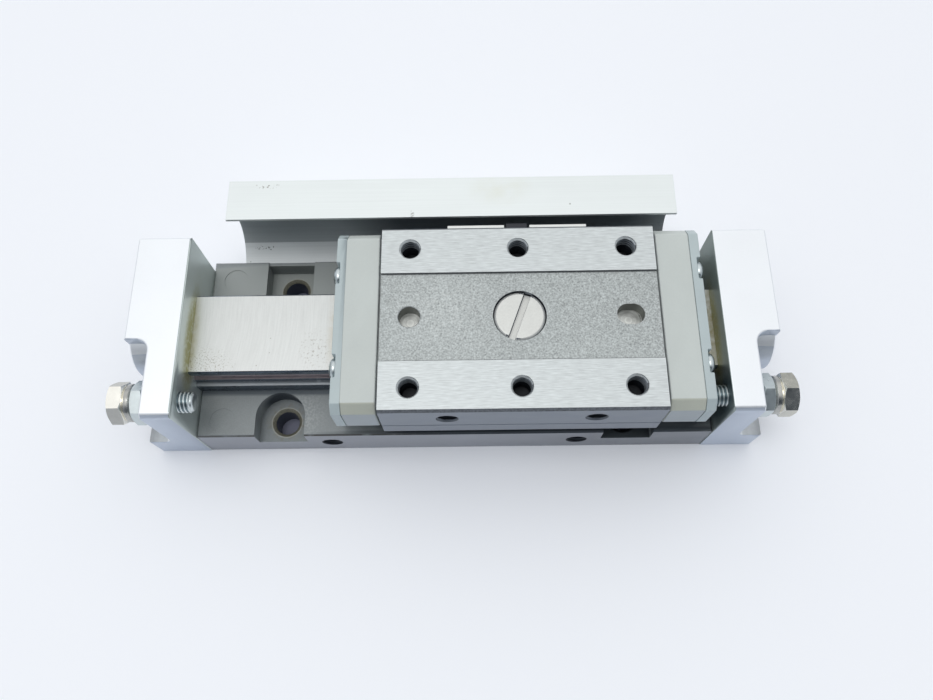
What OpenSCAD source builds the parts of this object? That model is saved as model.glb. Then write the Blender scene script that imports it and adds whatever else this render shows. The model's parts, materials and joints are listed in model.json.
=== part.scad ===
// Compact pneumatic slide table, shown at the right-hand end of its travel.
// Millimetres, +Z up. The origin lies on the mounting face, midway between the end plates,
// below the centre line of the guide rail. X runs along the travel.

/* [Travel] */
// Full travel of the table
stroke = 25; // [20:1:27]
// Gap left between a stop bolt and the table at the end of its travel
stop_gap = 0.1; // [0.05:0.05:0.3]

/* [Rail body] */
// Distance from the rail centre line to the front face of the body
body_front = 18; // [18:0.1:18.4]
// Distance from the rail centre line to the back face of the body
body_back = 19; // [18.8:0.1:19.6]
// Height of the flange beside the rail
flange_h = 10; // [9.6:0.1:10.4]
// Height of the ledge at the foot of the rail
ledge_h = 13; // [12.8:0.1:13.2]
// Width across the foot of the rail
foot_w = 17.6; // [17.2:0.1:17.8]
// Height of the top of the rail
rail_h = 18; // [17.8:0.1:18.2]
// Width of the top of the rail
rail_w = 15.8; // [15.6:0.1:16]
// Height of the ball tracks
track_z = 15.4; // [15.2:0.1:15.6]
// Distance between body mounting holes along the travel
mount_x = 65.6; // [65:0.2:66]
// Distance between body mounting holes across the travel
mount_y = 28.2; // [28:0.1:28.4]
// Radius of a body mounting hole
mount_r = 2.3; // [2.2:0.05:2.4]
// Height of the seat that the mounting screws clamp on
seat_z = 5.6; // [5.2:0.1:6]
// Distance between the tapped holes in the front face of the body
side_hole_x = 47.6; // [47:0.1:48]

/* [Cylinder] */
// Diameter of the cylinder bore
bore_d = 12; // [12:0.1:12.2]
// Height of the bore axis
bore_z = 9; // [8.8:0.1:9.2]
// Room left at each end of the bore past the piston's bumper
end_room = 3.5; // [2:0.5:4]
// Distance from the end of the piston to the middle of each seal
seal_in = 2.5; // [2:0.1:3]
// Diameter of the drive pin
pin_d = 6; // [5.6:0.1:6]

/* [End plates] */
// Thickness of an end plate beside its port
plate_t = 10; // [9.8:0.1:10.4]
// Thickness of an end plate where the stop bolt passes through
plate_thin = 5.6; // [5.4:0.1:5.8]
// Height of the end plates
plate_h = 24.2; // [24.2:0.1:24.6]
// Distance from the rail centre line to the front face of a plate
plate_front = 18.2; // [18.2:0.1:18.6]
// Distance from the rail centre line to the back face of a plate
plate_back = 17.2; // [17:0.1:17.6]
// Distance from the rail centre line forward to the step in thickness
plate_step = 3.4; // [3.2:0.1:3.6]
// Height of the full thickness foot below the thin part
plate_foot = 7; // [6.9:0.1:7.2]
// Radius inside the step
step_r = 2.2; // [1.8:0.1:2.4]
// Bevel along the front top edge
plate_bevel = 0.8; // [0.6:0.1:1]
// Radius of the upright corner at the back of a plate
plate_corner = 0.7; // [0.5:0.1:1]
// Distance of the air port forward from the rail centre line
port_y = 0; // [-0.2:0.1:0.2]
// Height of the air port
port_z = 15.6; // [15.4:0.1:15.8]
// Radius of the air port after tapping for an M5 fitting
port_r = 2.1; // [2.05:0.05:2.15]

/* [Stop bolts] */
// Distance from the rail centre line forward to the stop bolts
bolt_y = 14.1; // [14:0.1:14.2]
// Height of the stop bolts
bolt_z = 19.9; // [19.8:0.1:20.1]
// Thread diameter of a stop bolt
bolt_d = 4; // [3.9:0.1:4]
// Width across flats of a bolt head and of its nut
hex_af = 7; // [6.8:0.1:7]
// Thickness of a bolt head
head_t = 2.7; // [2.6:0.1:2.8]
// Thickness of the round collar under a bolt head
collar_t = 1.4; // [1.2:0.1:1.5]
// Thickness of a lock nut
nut_t = 2.2; // [2:0.1:2.3]
// Distance that a stop bolt stands in from its plate
bolt_reach = 2.7; // [2.5:0.1:3.5]

/* [Guide block] */
// Length of the steel block
block_len = 50.6; // [48:0.2:54]
// Width of the steel block
block_w = 36; // [35.8:0.1:36]
// Height of the top of the block
block_top = 25.1; // [25:0.1:25.3]
// Height of the underside of the block's two sides
block_low = 12.8; // [12.6:0.1:13]
// Width of the sunk band along the middle of the top
band_w = 17.2; // [17:0.1:17.4]
// Depth of the sunk band
band_depth = 0.4; // [0.3:0.05:0.5]
// Bevel along the front and back top edges
block_bevel = 0.5; // [0.4:0.1:0.6]
// Distance between tapped holes along the travel
tap_x = 20; // [20:0.1:20.2]
// Distance between the two rows of tapped holes
tap_y = 27; // [26.8:0.1:27.2]
// Radius of a tapped hole
tap_r = 1.65; // [1.6:0.05:1.7]
// Depth of the tapped holes
tap_depth = 6; // [5:0.5:6]
// Diameter of the locating pin hole
dowel_d = 4; // [3.8:0.1:4]
// Depth of the locating pin holes
dowel_depth = 3; // [2.5:0.5:3.5]
// Distance between the tapped holes in the front face of the block
block_side_x = 26.5; // [26:0.1:27]

/* [End caps] */
// Length of a plastic end cap
cap_len = 6.6; // [6.4:0.1:7]
// Thickness of the cover on an end cap
cover_t = 1.8; // [1.6:0.1:2]
// Distance that an end cap stands back from each side of the block
cap_inset = 0.2; // [0.1:0.1:0.4]
// Height of the top of an end cap
cap_top = 24.6; // [24.5:0.1:24.8]
// Height of the underside of an end cap's two sides
cap_low = 14.2; // [14.1:0.1:14.4]
// Bevel along the long edges of an end cap
cap_bevel = 1.7; // [1.5:0.1:1.9]
// Distance between the two screws of an end cap
cap_screw_y = 18.2; // [18:0.1:18.4]
// Height of the end cap screws
cap_screw_z = 22.4; // [22.4:0.1:22.5]

/* [Balls] */
// Diameter of a ball
ball_d = 2.4; // [2.3:0.1:2.4]
// Distance between ball centres
ball_pitch = 2.5; // [2.46:0.01:2.6]

/* [Switch rail] */
// Length of the switch rail
switch_len = 85.8; // [85:0.2:86]
// Height of the top of the switch rail
switch_top = 24.4; // [24:0.1:24.8]
// Height of the underside of the switch rail
switch_low = 1; // [0.6:0.1:1.4]
// Gap between the back of the block and the edge of the top lip
lip_gap = 2.7; // [2.6:0.1:3]
// Width of the top lip
lip_w = 8.5; // [8:0.1:9]
// Height of the switch groove
groove_z = 19.4; // [19:0.1:19.8]

/* [Hidden] */
$fn = 48;
eps = 0.01;
big = 200;
// radial gap of a running fit, and gap between faces that slide or are left apart
run = 0.03;
gap = 0.05;

// Places along the travel, from the middle of the table outwards
table_x = stroke / 2;
block_half = block_len / 2;
cap_end = block_half + cap_len;
table_half = cap_end + cover_t;
bolt_tip = table_x + table_half + stop_gap;
plate_in = bolt_tip + bolt_reach;
body_len = 2 * plate_in;
plate_out = plate_in + plate_t;
plate_mid = plate_in + plate_thin;

// Body details
pocket_r = 4.75;
pocket_x = mount_x / 2 + 0.4;
pocket_wall = 0.7;
pocket_wall_drop = 0.6;
flange_bevel = 0.35;
seat_bevel = 0.6;
mark_x = plate_in - 4.7;
mark_y = 14.8;
mark_r = 2.4;
mark_depth = 0.12;
side_hole_z = 4.9;
side_hole_depth = 6;

// End plate details
boss_r = 7.2;
foot_fillet = 1.5;
edge_bevel = 0.3;
port_depth = 7;
port_bevel = 0.5;
passage_r = 0.9;
passage_lean = 28;

// Rail and block channel
rail_half = rail_w / 2;
foot_half = foot_w / 2;
ball_r = ball_d / 2;
track_side = 0.45;
track_y = rail_half + track_side;
track_r = ball_r + gap;
return_gap = 4.3;
return_y = track_y + return_gap;
turn_y = (track_y + return_y) / 2;
turn_r = (return_y - track_y) / 2;
turn_ball_angle = 36;
channel_gap = 0.5;
channel_roof = 0.6;
channel_half = rail_half + channel_gap;
channel_top = rail_h + channel_roof;
skirt_gap = 0.4;
skirt_roof = 0.3;
skirt_half = foot_half + skirt_gap;
skirt_z = ledge_h + skirt_roof;
band_z = block_top - band_depth;
line_z = 16.5;
line_depth = 0.2;
tap_bevel = 0.4;
oblong = 1;
block_side_z = 20.6;
block_side_depth = 3.4;

// Widths that follow the block
cap_w = block_w - 2 * cap_inset;
lip_edge = block_w / 2 + lip_gap;
switch_back = lip_edge + lip_w;

// Cylinder
bore_r = bore_d / 2;
bore_pocket = 2.6;
piston_gap = 0.1;
piston_r = bore_r - piston_gap;
seal_w = 2;
seal_depth = 1.6;
pin_r = pin_d / 2;
pin_foot = 6;
pin_seat = 19.4;
pin_head_r = 4.5;
pin_hole_r = 4.85;
pin_lean = 20;
pin_slot_w = 1.3;
pin_slot_depth = 1;
pin_sunk = 0.2;
slot_gap = 0.3;
slot_end = 0.2;
slot_r = pin_r + slot_gap;
slot_half = table_x + slot_r + slot_end;
wear_w = 3;
wear_depth = 0.5;
bumper_r = 2.5;
bumper_depth = 2;
bumper_out = 0.6;
piston_half = plate_in + bore_pocket - table_x - end_room - bumper_out;
seal_x = piston_half - seal_in;
wear_gap = 4;
wear_x = seal_x - wear_gap;
gasket_land = 0.8;
gasket_r = bore_r + gasket_land;
gasket_w = 1.1;
gasket_t = 0.9;

// Fasteners
plate_screw_y = 13;
plate_screw_z = 3.6;
plate_screw_r = 1.5;
plate_screw_head_r = 2.75;
plate_screw_grip = 6.8;
plate_screw_len = 14;
m3_head_t = 3;
m3_gap = 0.15;
cap_screw_r = 1.1;
cap_screw_head_r = 2.05;
cap_screw_head_t = 1.4;
cap_screw_sunk = 0.7;
cap_screw_len = 12;
cap_screw_gap = 0.1;
wiper_t = 0.6;
wiper_low = 16.6;
wiper_high = 20.7;
wiper_side = 2.4;
wiper_lip = 0.12;
switch_screw_x = 44;
switch_screw_z = 4.6;
switch_screw_r = 1.5;
switch_head_sunk = 6;
switch_screw_head_y = switch_back - switch_head_sunk;
switch_screw_depth = 5;
magnet_screw_x = 5.3;
magnet_screw_z = 21;
magnet_screw_r = 0.8;
magnet_screw_len = 3.2;
magnet_w = 4;
magnet_t = 1.6;
magnet_low = 18;
magnet_top = 23.4;
sheet_gap = 0.35;
sheet_from = magnet_w / 2 + sheet_gap;
sheet_to = 13.1;
sheet_low = 17.6;
sheet_top = 24.2;
sheet_t = 0.8;
collar_r = 3.45;
collar_bevel = 0.35;
tip_bevel = 0.5;

// Switch rail section
switch_seat_z = 9;
switch_wall = 4.2;
switch_wall_y = switch_back - switch_wall;
switch_sweep = 8;
lip_t = 2.2;
groove_mouth = 2.8;
groove_w = 4.2;
groove_depth = 3;

// Points on an arc about a centre
function arc_points(centre, radius, from, to, steps) =
  [for (i = [0:steps])
    let (a = from + (to - from) * i / steps)
    centre + radius * [cos(a), sin(a)]];

// A round bar along X, starting at x = 0
module bar_x(radius, length) {
  rotate([0, 90, 0]) cylinder(r = radius, h = length);
}

// A cone along X, starting at x = 0
module cone_x(radius_1, radius_2, length) {
  rotate([0, 90, 0]) cylinder(r1 = radius_1, r2 = radius_2, h = length);
}

// An outline drawn in Y and Z, made into a bar along X that is centred on x = 0
module profile_x(length) {
  translate([-length / 2, 0, 0])
    rotate([90, 0, 90])
      linear_extrude(length)
        children();
}

// A hexagon bar along X with both faces bevelled round, starting at x = 0
module hex_x(across_flats, length, turn) {
  corner = across_flats / sqrt(3);
  bevel = (corner - across_flats / 2) * 0.6;
  intersection() {
    rotate([turn, 0, 0])
      rotate([0, 90, 0])
        cylinder(r = corner, h = length, $fn = 6);
    union() {
      cone_x(corner - 2 * bevel, corner + eps, bevel);
      translate([bevel, 0, 0]) bar_x(corner + eps, length - 2 * bevel);
      translate([length - bevel, 0, 0]) cone_x(corner + eps, corner - 2 * bevel, bevel);
    }
  }
}

// A blind hole down from the given height, with a small bevel at its mouth
module drilled_z(radius, top, depth, bevel) {
  translate([0, 0, top - depth]) cylinder(r = radius, h = depth + 1);
  translate([0, 0, top - bevel]) cylinder(r1 = radius, r2 = radius + bevel + eps, h = bevel + eps);
}

// A blind hole into a face that looks forward, with a small bevel at its mouth
module drilled_front(radius, depth, bevel) {
  rotate([-90, 0, 0]) {
    translate([0, 0, -1]) cylinder(r = radius, h = depth + 1);
    translate([0, 0, -eps]) cylinder(r1 = radius + bevel + eps, r2 = radius, h = bevel + eps);
  }
}

/* ---- Rail body ---- */

module rail_outline() {
  corner = 0.3;
  polygon([
    [-foot_half, flange_h - 1], [-foot_half, ledge_h], [-rail_half, ledge_h],
    [-rail_half, rail_h - corner], [-rail_half + corner, rail_h],
    [rail_half - corner, rail_h], [rail_half, rail_h - corner],
    [rail_half, ledge_h], [foot_half, ledge_h], [foot_half, flange_h - 1]
  ]);
}

module flange_outline() {
  polygon([
    [-body_front, 0], [-body_front, flange_h - flange_bevel], [-body_front + flange_bevel, flange_h],
    [body_back - flange_bevel, flange_h], [body_back, flange_h - flange_bevel], [body_back, 0]
  ]);
}

// The pocket round a front mounting hole, open at the front face
module front_pocket() {
  translate([pocket_x, -mount_y / 2, seat_z]) {
    cylinder(r = pocket_r, h = big);
    translate([-pocket_r, -pocket_r * 2, 0]) cube([2 * pocket_r, 2 * pocket_r, big]);
  }
}

// The pocket round a back mounting hole, closed by a thin low wall
module back_pocket() {
  wall_y = body_back - pocket_wall;
  translate([pocket_x - pocket_r, mount_y / 2 - pocket_r, seat_z])
    cube([2 * pocket_r, wall_y - mount_y / 2 + pocket_r, flange_h]);
  translate([pocket_x - pocket_r, wall_y - eps, flange_h - pocket_wall_drop])
    cube([2 * pocket_r, pocket_wall + 1, pocket_wall_drop + 1]);
}

module body_end_cuts() {
  edge = flange_bevel * sqrt(2);
  for (y = [-plate_screw_y, plate_screw_y])
    translate([plate_in + plate_screw_grip - plate_screw_len - 1, y, plate_screw_z])
      bar_x(plate_screw_r + run, plate_screw_len);
  for (y = [-mark_y, mark_y])
    translate([mark_x, y, flange_h - mark_depth]) cylinder(r = mark_r, h = 1);
  // bevel along the top of the flange's end
  for (y = [-body_front - 1, foot_half])
    translate([plate_in, y, flange_h])
      rotate([0, 45, 0])
        translate([-edge / 2, 0, -edge / 2])
          cube([edge, body_back - foot_half + 1, edge]);
}

module rail_body() {
  color("#8A8E8E")
  difference() {
    union() {
      profile_x(body_len) flange_outline();
      profile_x(body_len) rail_outline();
    }
    translate([-big / 2, 0, bore_z]) bar_x(bore_r, big);
    // slot that the drive pin runs in
    for (x = [-slot_half + slot_r, slot_half - slot_r])
      translate([x, 0, bore_z]) cylinder(r = slot_r, h = rail_h);
    translate([-slot_half + slot_r, -slot_r, bore_z])
      cube([2 * (slot_half - slot_r), 2 * slot_r, rail_h]);
    // ball tracks
    for (y = [-track_y, track_y])
      translate([-big / 2, y, track_z]) bar_x(track_r, big);
    for (side = [0, 1])
      mirror([side, 0, 0]) {
        front_pocket();
        back_pocket();
        body_end_cuts();
        for (y = [-mount_y / 2, mount_y / 2])
          translate([mount_x / 2, y, 0]) {
            translate([0, 0, -1]) cylinder(r = mount_r, h = flange_h);
            translate([0, 0, seat_z - seat_bevel])
              cylinder(r1 = mount_r, r2 = mount_r + seat_bevel + eps, h = seat_bevel + eps);
          }
        translate([side_hole_x / 2, -body_front, side_hole_z])
          drilled_front(tap_r, side_hole_depth, tap_bevel);
        translate([switch_screw_x / 2, body_back, switch_screw_z])
          rotate([90, 0, 0])
            translate([0, 0, -1])
              cylinder(r = switch_screw_r + run, h = switch_screw_depth + 2);
      }
  }
}

/* ---- End plates ---- */

// Everything cut from the block of an end plate to leave its thin part, seen from above
module step_plan() {
  reach = 20;
  translate([plate_mid + step_r, -plate_step - reach]) square([reach, reach]);
  translate([plate_mid, -plate_step - reach]) square([reach, reach - step_r]);
  translate([plate_mid + step_r, -plate_step - step_r]) circle(r = step_r);
}

module end_plate() {
  port_x = plate_out - port_depth;
  front_edge = plate_bevel * sqrt(2);
  back_edge = edge_bevel * sqrt(2);
  difference() {
    union() {
      difference() {
        translate([plate_in, -plate_front, 0])
          cube([plate_t, plate_front + plate_back, plate_h]);
        translate([0, 0, plate_foot]) linear_extrude(big) step_plan();
        // rounded upright corner
        translate([plate_out - plate_corner, plate_back - plate_corner, -1])
          difference() {
            cube([plate_corner + 1, plate_corner + 1, big]);
            translate([0, 0, -1]) cylinder(r = plate_corner, h = big + 2);
          }
      }
      // fillet between the thin part and the foot
      difference() {
        translate([plate_mid - eps, -plate_front, plate_foot - eps])
          cube([foot_fillet, plate_front - plate_step - step_r, foot_fillet]);
        translate([plate_mid + foot_fillet, -big / 2, plate_foot + foot_fillet])
          rotate([-90, 0, 0])
            cylinder(r = foot_fillet, h = big);
      }
      // round boss about the air port
      translate([plate_mid - eps, -port_y, port_z])
        bar_x(boss_r, plate_t - plate_thin + eps - edge_bevel);
      translate([plate_out - edge_bevel, -port_y, port_z])
        cone_x(boss_r, boss_r - edge_bevel, edge_bevel);
    }
    // bevel along the front top edge
    translate([0, -plate_front, plate_h])
      rotate([45, 0, 0])
        cube([big, front_edge, front_edge], center = true);
    // small bevel along the back top edge
    translate([0, plate_back, plate_h])
      rotate([45, 0, 0])
        cube([big, back_edge, back_edge], center = true);
    // bore end, air port and the passage between them
    translate([plate_in - 1, 0, bore_z]) bar_x(bore_r, bore_pocket + 1);
    translate([port_x, -port_y, port_z]) {
      bar_x(port_r, port_depth + 1);
      translate([port_depth - port_bevel, 0, 0])
        cone_x(port_r, port_r + port_bevel + eps, port_bevel + eps);
    }
    translate([plate_in + bore_pocket - 1.2, -port_y, bore_z + bore_r / 2])
      rotate([0, passage_lean, 0])
        cylinder(r = passage_r, h = port_z - bore_z - 2);
    // gasket groove
    translate([plate_in - 1, 0, bore_z])
      difference() {
        bar_x(gasket_r + gasket_w, 1 + gasket_t);
        translate([-1, 0, 0]) bar_x(gasket_r, 3 + gasket_t);
      }
    // screws into the body
    for (y = [-plate_screw_y, plate_screw_y])
      translate([0, y, plate_screw_z]) {
        bar_x(plate_screw_r + m3_gap, big);
        translate([plate_in + plate_screw_grip, 0, 0])
          bar_x(plate_screw_head_r + m3_gap, plate_t);
      }
    // tapped hole of the stop bolt
    translate([plate_in - 1, -bolt_y, bolt_z]) bar_x(bolt_d / 2, plate_thin + 2);
  }
}

module end_plate_left() {
  color("#E9ECEE") mirror([1, 0, 0]) end_plate();
}

module end_plate_right() {
  color("#E9ECEE") end_plate();
}

// Socket head cap screw along -X, its head seat at x = 0
module cap_head_screw(radius, length, head_r, head_h) {
  translate([-length, 0, 0]) bar_x(radius, length + eps);
  difference() {
    bar_x(head_r, head_h);
    translate([head_h - 1.5, 0, 0])
      rotate([0, 90, 0])
        cylinder(r = head_r * 0.52, h = 2, $fn = 6);
  }
}

module end_plate_screws() {
  color("#55585A")
  for (side = [0, 1], y = [-plate_screw_y, plate_screw_y])
    mirror([side, 0, 0])
      translate([plate_in + plate_screw_grip, y, plate_screw_z])
        cap_head_screw(plate_screw_r, plate_screw_len, plate_screw_head_r, m3_head_t);
}

module bore_gaskets() {
  color("#2A2A2A")
  for (side = [0, 1])
    mirror([side, 0, 0])
      translate([plate_in, 0, bore_z])
        difference() {
          bar_x(gasket_r + gasket_w, gasket_t);
          translate([-1, 0, 0]) bar_x(gasket_r, 3);
        }
}

/* ---- Switch rail ---- */

// Section of the switch rail in Y and Z: a lip above, a hollow swept down to the seat
module switch_outline() {
  lip_low = switch_top - lip_t;
  centre = [switch_wall_y - switch_sweep, switch_seat_z + switch_sweep];
  end_angle = -acos((body_back - centre[0]) / switch_sweep);
  difference() {
    polygon(concat(
      [
        [body_back, switch_low], [switch_back, switch_low], [switch_back, switch_top],
        [lip_edge, switch_top], [lip_edge, lip_low], [switch_wall_y, lip_low - 0.4]
      ],
      arc_points(centre, switch_sweep, 0, end_angle, 12)
    ));
    translate([switch_back - 1, groove_z - groove_mouth / 2]) square([2, groove_mouth]);
    translate([switch_back - groove_depth, groove_z - groove_w / 2])
      square([groove_depth - 0.8, groove_w]);
  }
}

module switch_rail() {
  color("#ECEDEC")
  difference() {
    profile_x(switch_len) switch_outline();
    for (x = [-switch_screw_x / 2, switch_screw_x / 2])
      translate([x, 0, switch_screw_z])
        rotate([-90, 0, 0]) {
          cylinder(r = switch_screw_r + m3_gap, h = big);
          translate([0, 0, switch_screw_head_y])
            cylinder(r = plate_screw_head_r + m3_gap, h = switch_back);
        }
  }
}

module switch_rail_screws() {
  screw_len = switch_screw_head_y - body_back + switch_screw_depth;
  color("#9A9D9E")
  for (x = [-switch_screw_x / 2, switch_screw_x / 2])
    translate([x, switch_screw_head_y, switch_screw_z])
      rotate([0, 0, 90])
        cap_head_screw(switch_screw_r, screw_len, plate_screw_head_r, m3_head_t);
}

/* ---- Guide block ---- */

module block_outline() {
  half = block_w / 2;
  band = band_w / 2;
  line = line_depth;
  polygon([
    [-half, block_low], [-half, line_z - line], [-half + line, line_z], [-half, line_z + line],
    [-half, block_top - block_bevel], [-half + block_bevel, block_top],
    [-band, block_top], [-band, band_z], [band, band_z], [band, block_top],
    [half - block_bevel, block_top], [half, block_top - block_bevel],
    [half, line_z + line], [half - line, line_z], [half, line_z - line], [half, block_low],
    [skirt_half, block_low], [skirt_half, skirt_z], [channel_half, skirt_z],
    [channel_half, channel_top], [-channel_half, channel_top], [-channel_half, skirt_z],
    [-skirt_half, skirt_z], [-skirt_half, block_low]
  ]);
}

module guide_block() {
  color("#C9CCCB")
  translate([table_x, 0, 0])
  difference() {
    profile_x(block_len) block_outline();
    for (y = [-track_y, track_y])
      translate([-big / 2, y, track_z]) bar_x(track_r, big);
    for (y = [-return_y, return_y])
      translate([-big / 2, y, track_z]) bar_x(track_r, big);
    for (x = [-tap_x, 0, tap_x], y = [-tap_y / 2, tap_y / 2])
      translate([x, y, 0]) drilled_z(tap_r, block_top, tap_depth, tap_bevel);
    // round locating hole on the left, oblong one on the right
    translate([-tap_x, 0, 0]) drilled_z(dowel_d / 2, band_z, dowel_depth, 0.15);
    for (x = [-oblong / 2, oblong / 2])
      translate([tap_x + x, 0, band_z - dowel_depth]) cylinder(r = dowel_d / 2, h = 10);
    translate([tap_x - oblong / 2, -dowel_d / 2, band_z - dowel_depth])
      cube([oblong, dowel_d, 10]);
    // seat of the drive pin
    translate([0, 0, pin_seat]) cylinder(r = pin_hole_r, h = block_top);
    cylinder(r = pin_r + run, h = block_top);
    for (x = [-block_side_x / 2, block_side_x / 2])
      translate([x, -block_w / 2, block_side_z])
        drilled_front(tap_r, block_side_depth, tap_bevel);
    for (x = [-block_half, block_half], y = [-cap_screw_y / 2, cap_screw_y / 2])
      translate([x - 6, y, cap_screw_z]) bar_x(cap_screw_r + run, 12);
    for (x = [-magnet_screw_x, magnet_screw_x])
      translate([x, block_w / 2 - 3, magnet_screw_z])
        rotate([-90, 0, 0])
          cylinder(r = magnet_screw_r + run, h = 5);
  }
}

/* ---- End caps, their covers and wipers ---- */

// Outline of an end cap and of its cover, open below round the rail
module cap_outline(side_gap) {
  half = cap_w / 2;
  polygon([
    [-half, cap_low + cap_bevel], [-half, cap_top - cap_bevel], [-half + cap_bevel, cap_top],
    [half - cap_bevel, cap_top], [half, cap_top - cap_bevel], [half, cap_low + cap_bevel],
    [half - cap_bevel, cap_low], [rail_half + side_gap, cap_low], [rail_half + side_gap, rail_h + side_gap],
    [-rail_half - side_gap, rail_h + side_gap], [-rail_half - side_gap, cap_low],
    [-half + cap_bevel, cap_low]
  ]);
}

// Half round channel that turns the balls from the loaded row into the return row
module ball_turn() {
  translate([0, turn_y, track_z])
    rotate_extrude()
      translate([turn_r, 0])
        circle(r = track_r);
}

module end_cap() {
  difference() {
    translate([block_half + cap_len / 2, 0, 0]) profile_x(cap_len) cap_outline(0.5);
    translate([block_half, 0, 0]) {
      ball_turn();
      mirror([0, 1, 0]) ball_turn();
    }
    for (y = [-cap_screw_y / 2, cap_screw_y / 2])
      translate([block_half - 1, y, cap_screw_z]) bar_x(cap_screw_r + cap_screw_gap, cap_len + 2);
  }
}

// Outline of a rubber wiper, which straddles the rail
module wiper_outline(shrink) {
  half = cap_w / 2 - wiper_side - shrink;
  low = wiper_low + shrink;
  high = wiper_high - shrink;
  side = rail_half + wiper_lip;
  polygon([
    [-half, low], [-half, high], [half, high], [half, low],
    [side, low], [side, rail_h + wiper_lip], [-side, rail_h + wiper_lip], [-side, low]
  ]);
}

module cap_cover() {
  seat_x = table_half - cap_screw_sunk;
  notch_r = cap_screw_head_r + cap_screw_gap;
  difference() {
    translate([cap_end + cover_t / 2, 0, 0]) profile_x(cover_t) cap_outline(0.3);
    // recess that holds the wiper
    translate([cap_end + wiper_t / 2 - 0.5, 0, 0]) profile_x(wiper_t + 1) wiper_outline(0);
    for (y = [-cap_screw_y / 2, cap_screw_y / 2])
      translate([0, y, cap_screw_z]) {
        translate([cap_end - 1, 0, 0]) bar_x(cap_screw_r + cap_screw_gap, cover_t + 2);
        translate([seat_x, 0, 0]) bar_x(notch_r, 5);
        translate([seat_x, -notch_r, 0]) cube([5, 2 * notch_r, 5]);
      }
  }
}

module end_cap_left() {
  color("#C6CBC6") translate([table_x, 0, 0]) mirror([1, 0, 0]) end_cap();
}

module end_cap_right() {
  color("#C6CBC6") translate([table_x, 0, 0]) end_cap();
}

module cap_cover_left() {
  color("#BCCACC") translate([table_x, 0, 0]) mirror([1, 0, 0]) cap_cover();
}

module cap_cover_right() {
  color("#BCCACC") translate([table_x, 0, 0]) cap_cover();
}

module rail_wipers() {
  color("#3A3D3A")
  for (side = [0, 1])
    translate([table_x, 0, 0])
      mirror([side, 0, 0])
        translate([cap_end + wiper_t / 2, 0, 0])
          profile_x(wiper_t) wiper_outline(gap);
}

// Pan head screw along -X, its head seat at x = 0
module pan_head_screw(radius, length, head_r, head_h) {
  edge = head_h * 0.45;
  translate([-length, 0, 0]) bar_x(radius, length + eps);
  difference() {
    union() {
      bar_x(head_r, head_h - edge);
      translate([head_h - edge, 0, 0]) cone_x(head_r, head_r * 0.7, edge);
    }
    for (turn = [45, 135])
      translate([head_h, 0, 0])
        rotate([turn, 0, 0])
          cube([head_h, head_r * 1.2, head_r * 0.3], center = true);
  }
}

module cap_screws() {
  color("#8C9092")
  for (side = [0, 1], y = [-cap_screw_y / 2, cap_screw_y / 2])
    translate([table_x, 0, 0])
      mirror([side, 0, 0])
        translate([table_half - cap_screw_sunk, y, cap_screw_z])
          pan_head_screw(cap_screw_r, cap_screw_len, cap_screw_head_r, cap_screw_head_t);
}

/* ---- Drive ---- */

module drive_pin() {
  head_top = band_z - pin_sunk;
  edge = 0.25;
  color("#D9D9D4")
  translate([table_x, 0, 0])
  difference() {
    union() {
      translate([0, 0, pin_foot]) cylinder(r = pin_r, h = pin_seat - pin_foot + eps);
      translate([0, 0, pin_seat]) cylinder(r = pin_head_r, h = head_top - pin_seat - edge);
      translate([0, 0, head_top - edge]) cylinder(r1 = pin_head_r, r2 = pin_head_r - edge, h = edge);
    }
    rotate([0, 0, -pin_lean])
      translate([-pin_slot_w / 2, -2 * pin_head_r, head_top - pin_slot_depth])
        cube([pin_slot_w, 4 * pin_head_r, 5]);
  }
}

module piston() {
  color("#B9BDC0")
  translate([table_x, 0, bore_z])
  difference() {
    translate([-piston_half, 0, 0]) bar_x(piston_r, 2 * piston_half);
    translate([0, 0, pin_foot - bore_z - 0.5]) cylinder(r = pin_r + run, h = 20);
    for (x = [-seal_x, seal_x])
      translate([x - seal_w / 2, 0, 0]) ring_x(piston_r - seal_depth, bore_r + 1, seal_w);
    for (x = [-wear_x, wear_x])
      translate([x - wear_w / 2, 0, 0]) ring_x(piston_r - wear_depth, bore_r + 1, wear_w);
    for (side = [0, 1])
      mirror([side, 0, 0])
        translate([piston_half - bumper_depth, 0, 0]) bar_x(bumper_r + run, 5);
  }
}

// A flat ring along X, starting at x = 0
module ring_x(inner_r, outer_r, length) {
  difference() {
    bar_x(outer_r, length);
    translate([-1, 0, 0]) bar_x(inner_r, length + 2);
  }
}

module piston_seals() {
  color("#2B2D2B")
  for (x = [-seal_x, seal_x])
    translate([table_x + x - seal_w / 2 + gap, 0, bore_z])
      ring_x(piston_r - seal_depth, bore_r - run, seal_w - 2 * gap);
}

module wear_rings() {
  color("#D8D2C0")
  for (x = [-wear_x, wear_x])
    translate([table_x + x - wear_w / 2 + gap, 0, bore_z])
      ring_x(piston_r - wear_depth, bore_r - run, wear_w - 2 * gap);
}

module piston_bumpers() {
  color("#33363A")
  for (side = [0, 1])
    translate([table_x, 0, bore_z])
      mirror([side, 0, 0])
        translate([piston_half - bumper_depth, 0, 0])
          bar_x(bumper_r, bumper_depth + bumper_out);
}

/* ---- Balls ---- */

// One closed loop of balls: a loaded row, a return row and two turns
module ball_loop() {
  count = floor(2 * block_half / ball_pitch);
  first = -(count - 1) * ball_pitch / 2;
  for (i = [0:count - 1], y = [track_y, return_y])
    translate([first + i * ball_pitch, y, track_z]) sphere(r = ball_r, $fn = 24);
  for (side = [-1, 1], a = [-turn_ball_angle, turn_ball_angle])
    translate([side * (block_half + turn_r * cos(a)), turn_y + turn_r * sin(a), track_z])
      sphere(r = ball_r, $fn = 24);
}

module balls_front() {
  color("#B4B8BA") translate([table_x, 0, 0]) mirror([0, 1, 0]) ball_loop();
}

module balls_back() {
  color("#B4B8BA") translate([table_x, 0, 0]) ball_loop();
}

/* ---- Magnet for the position switches ---- */

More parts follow.
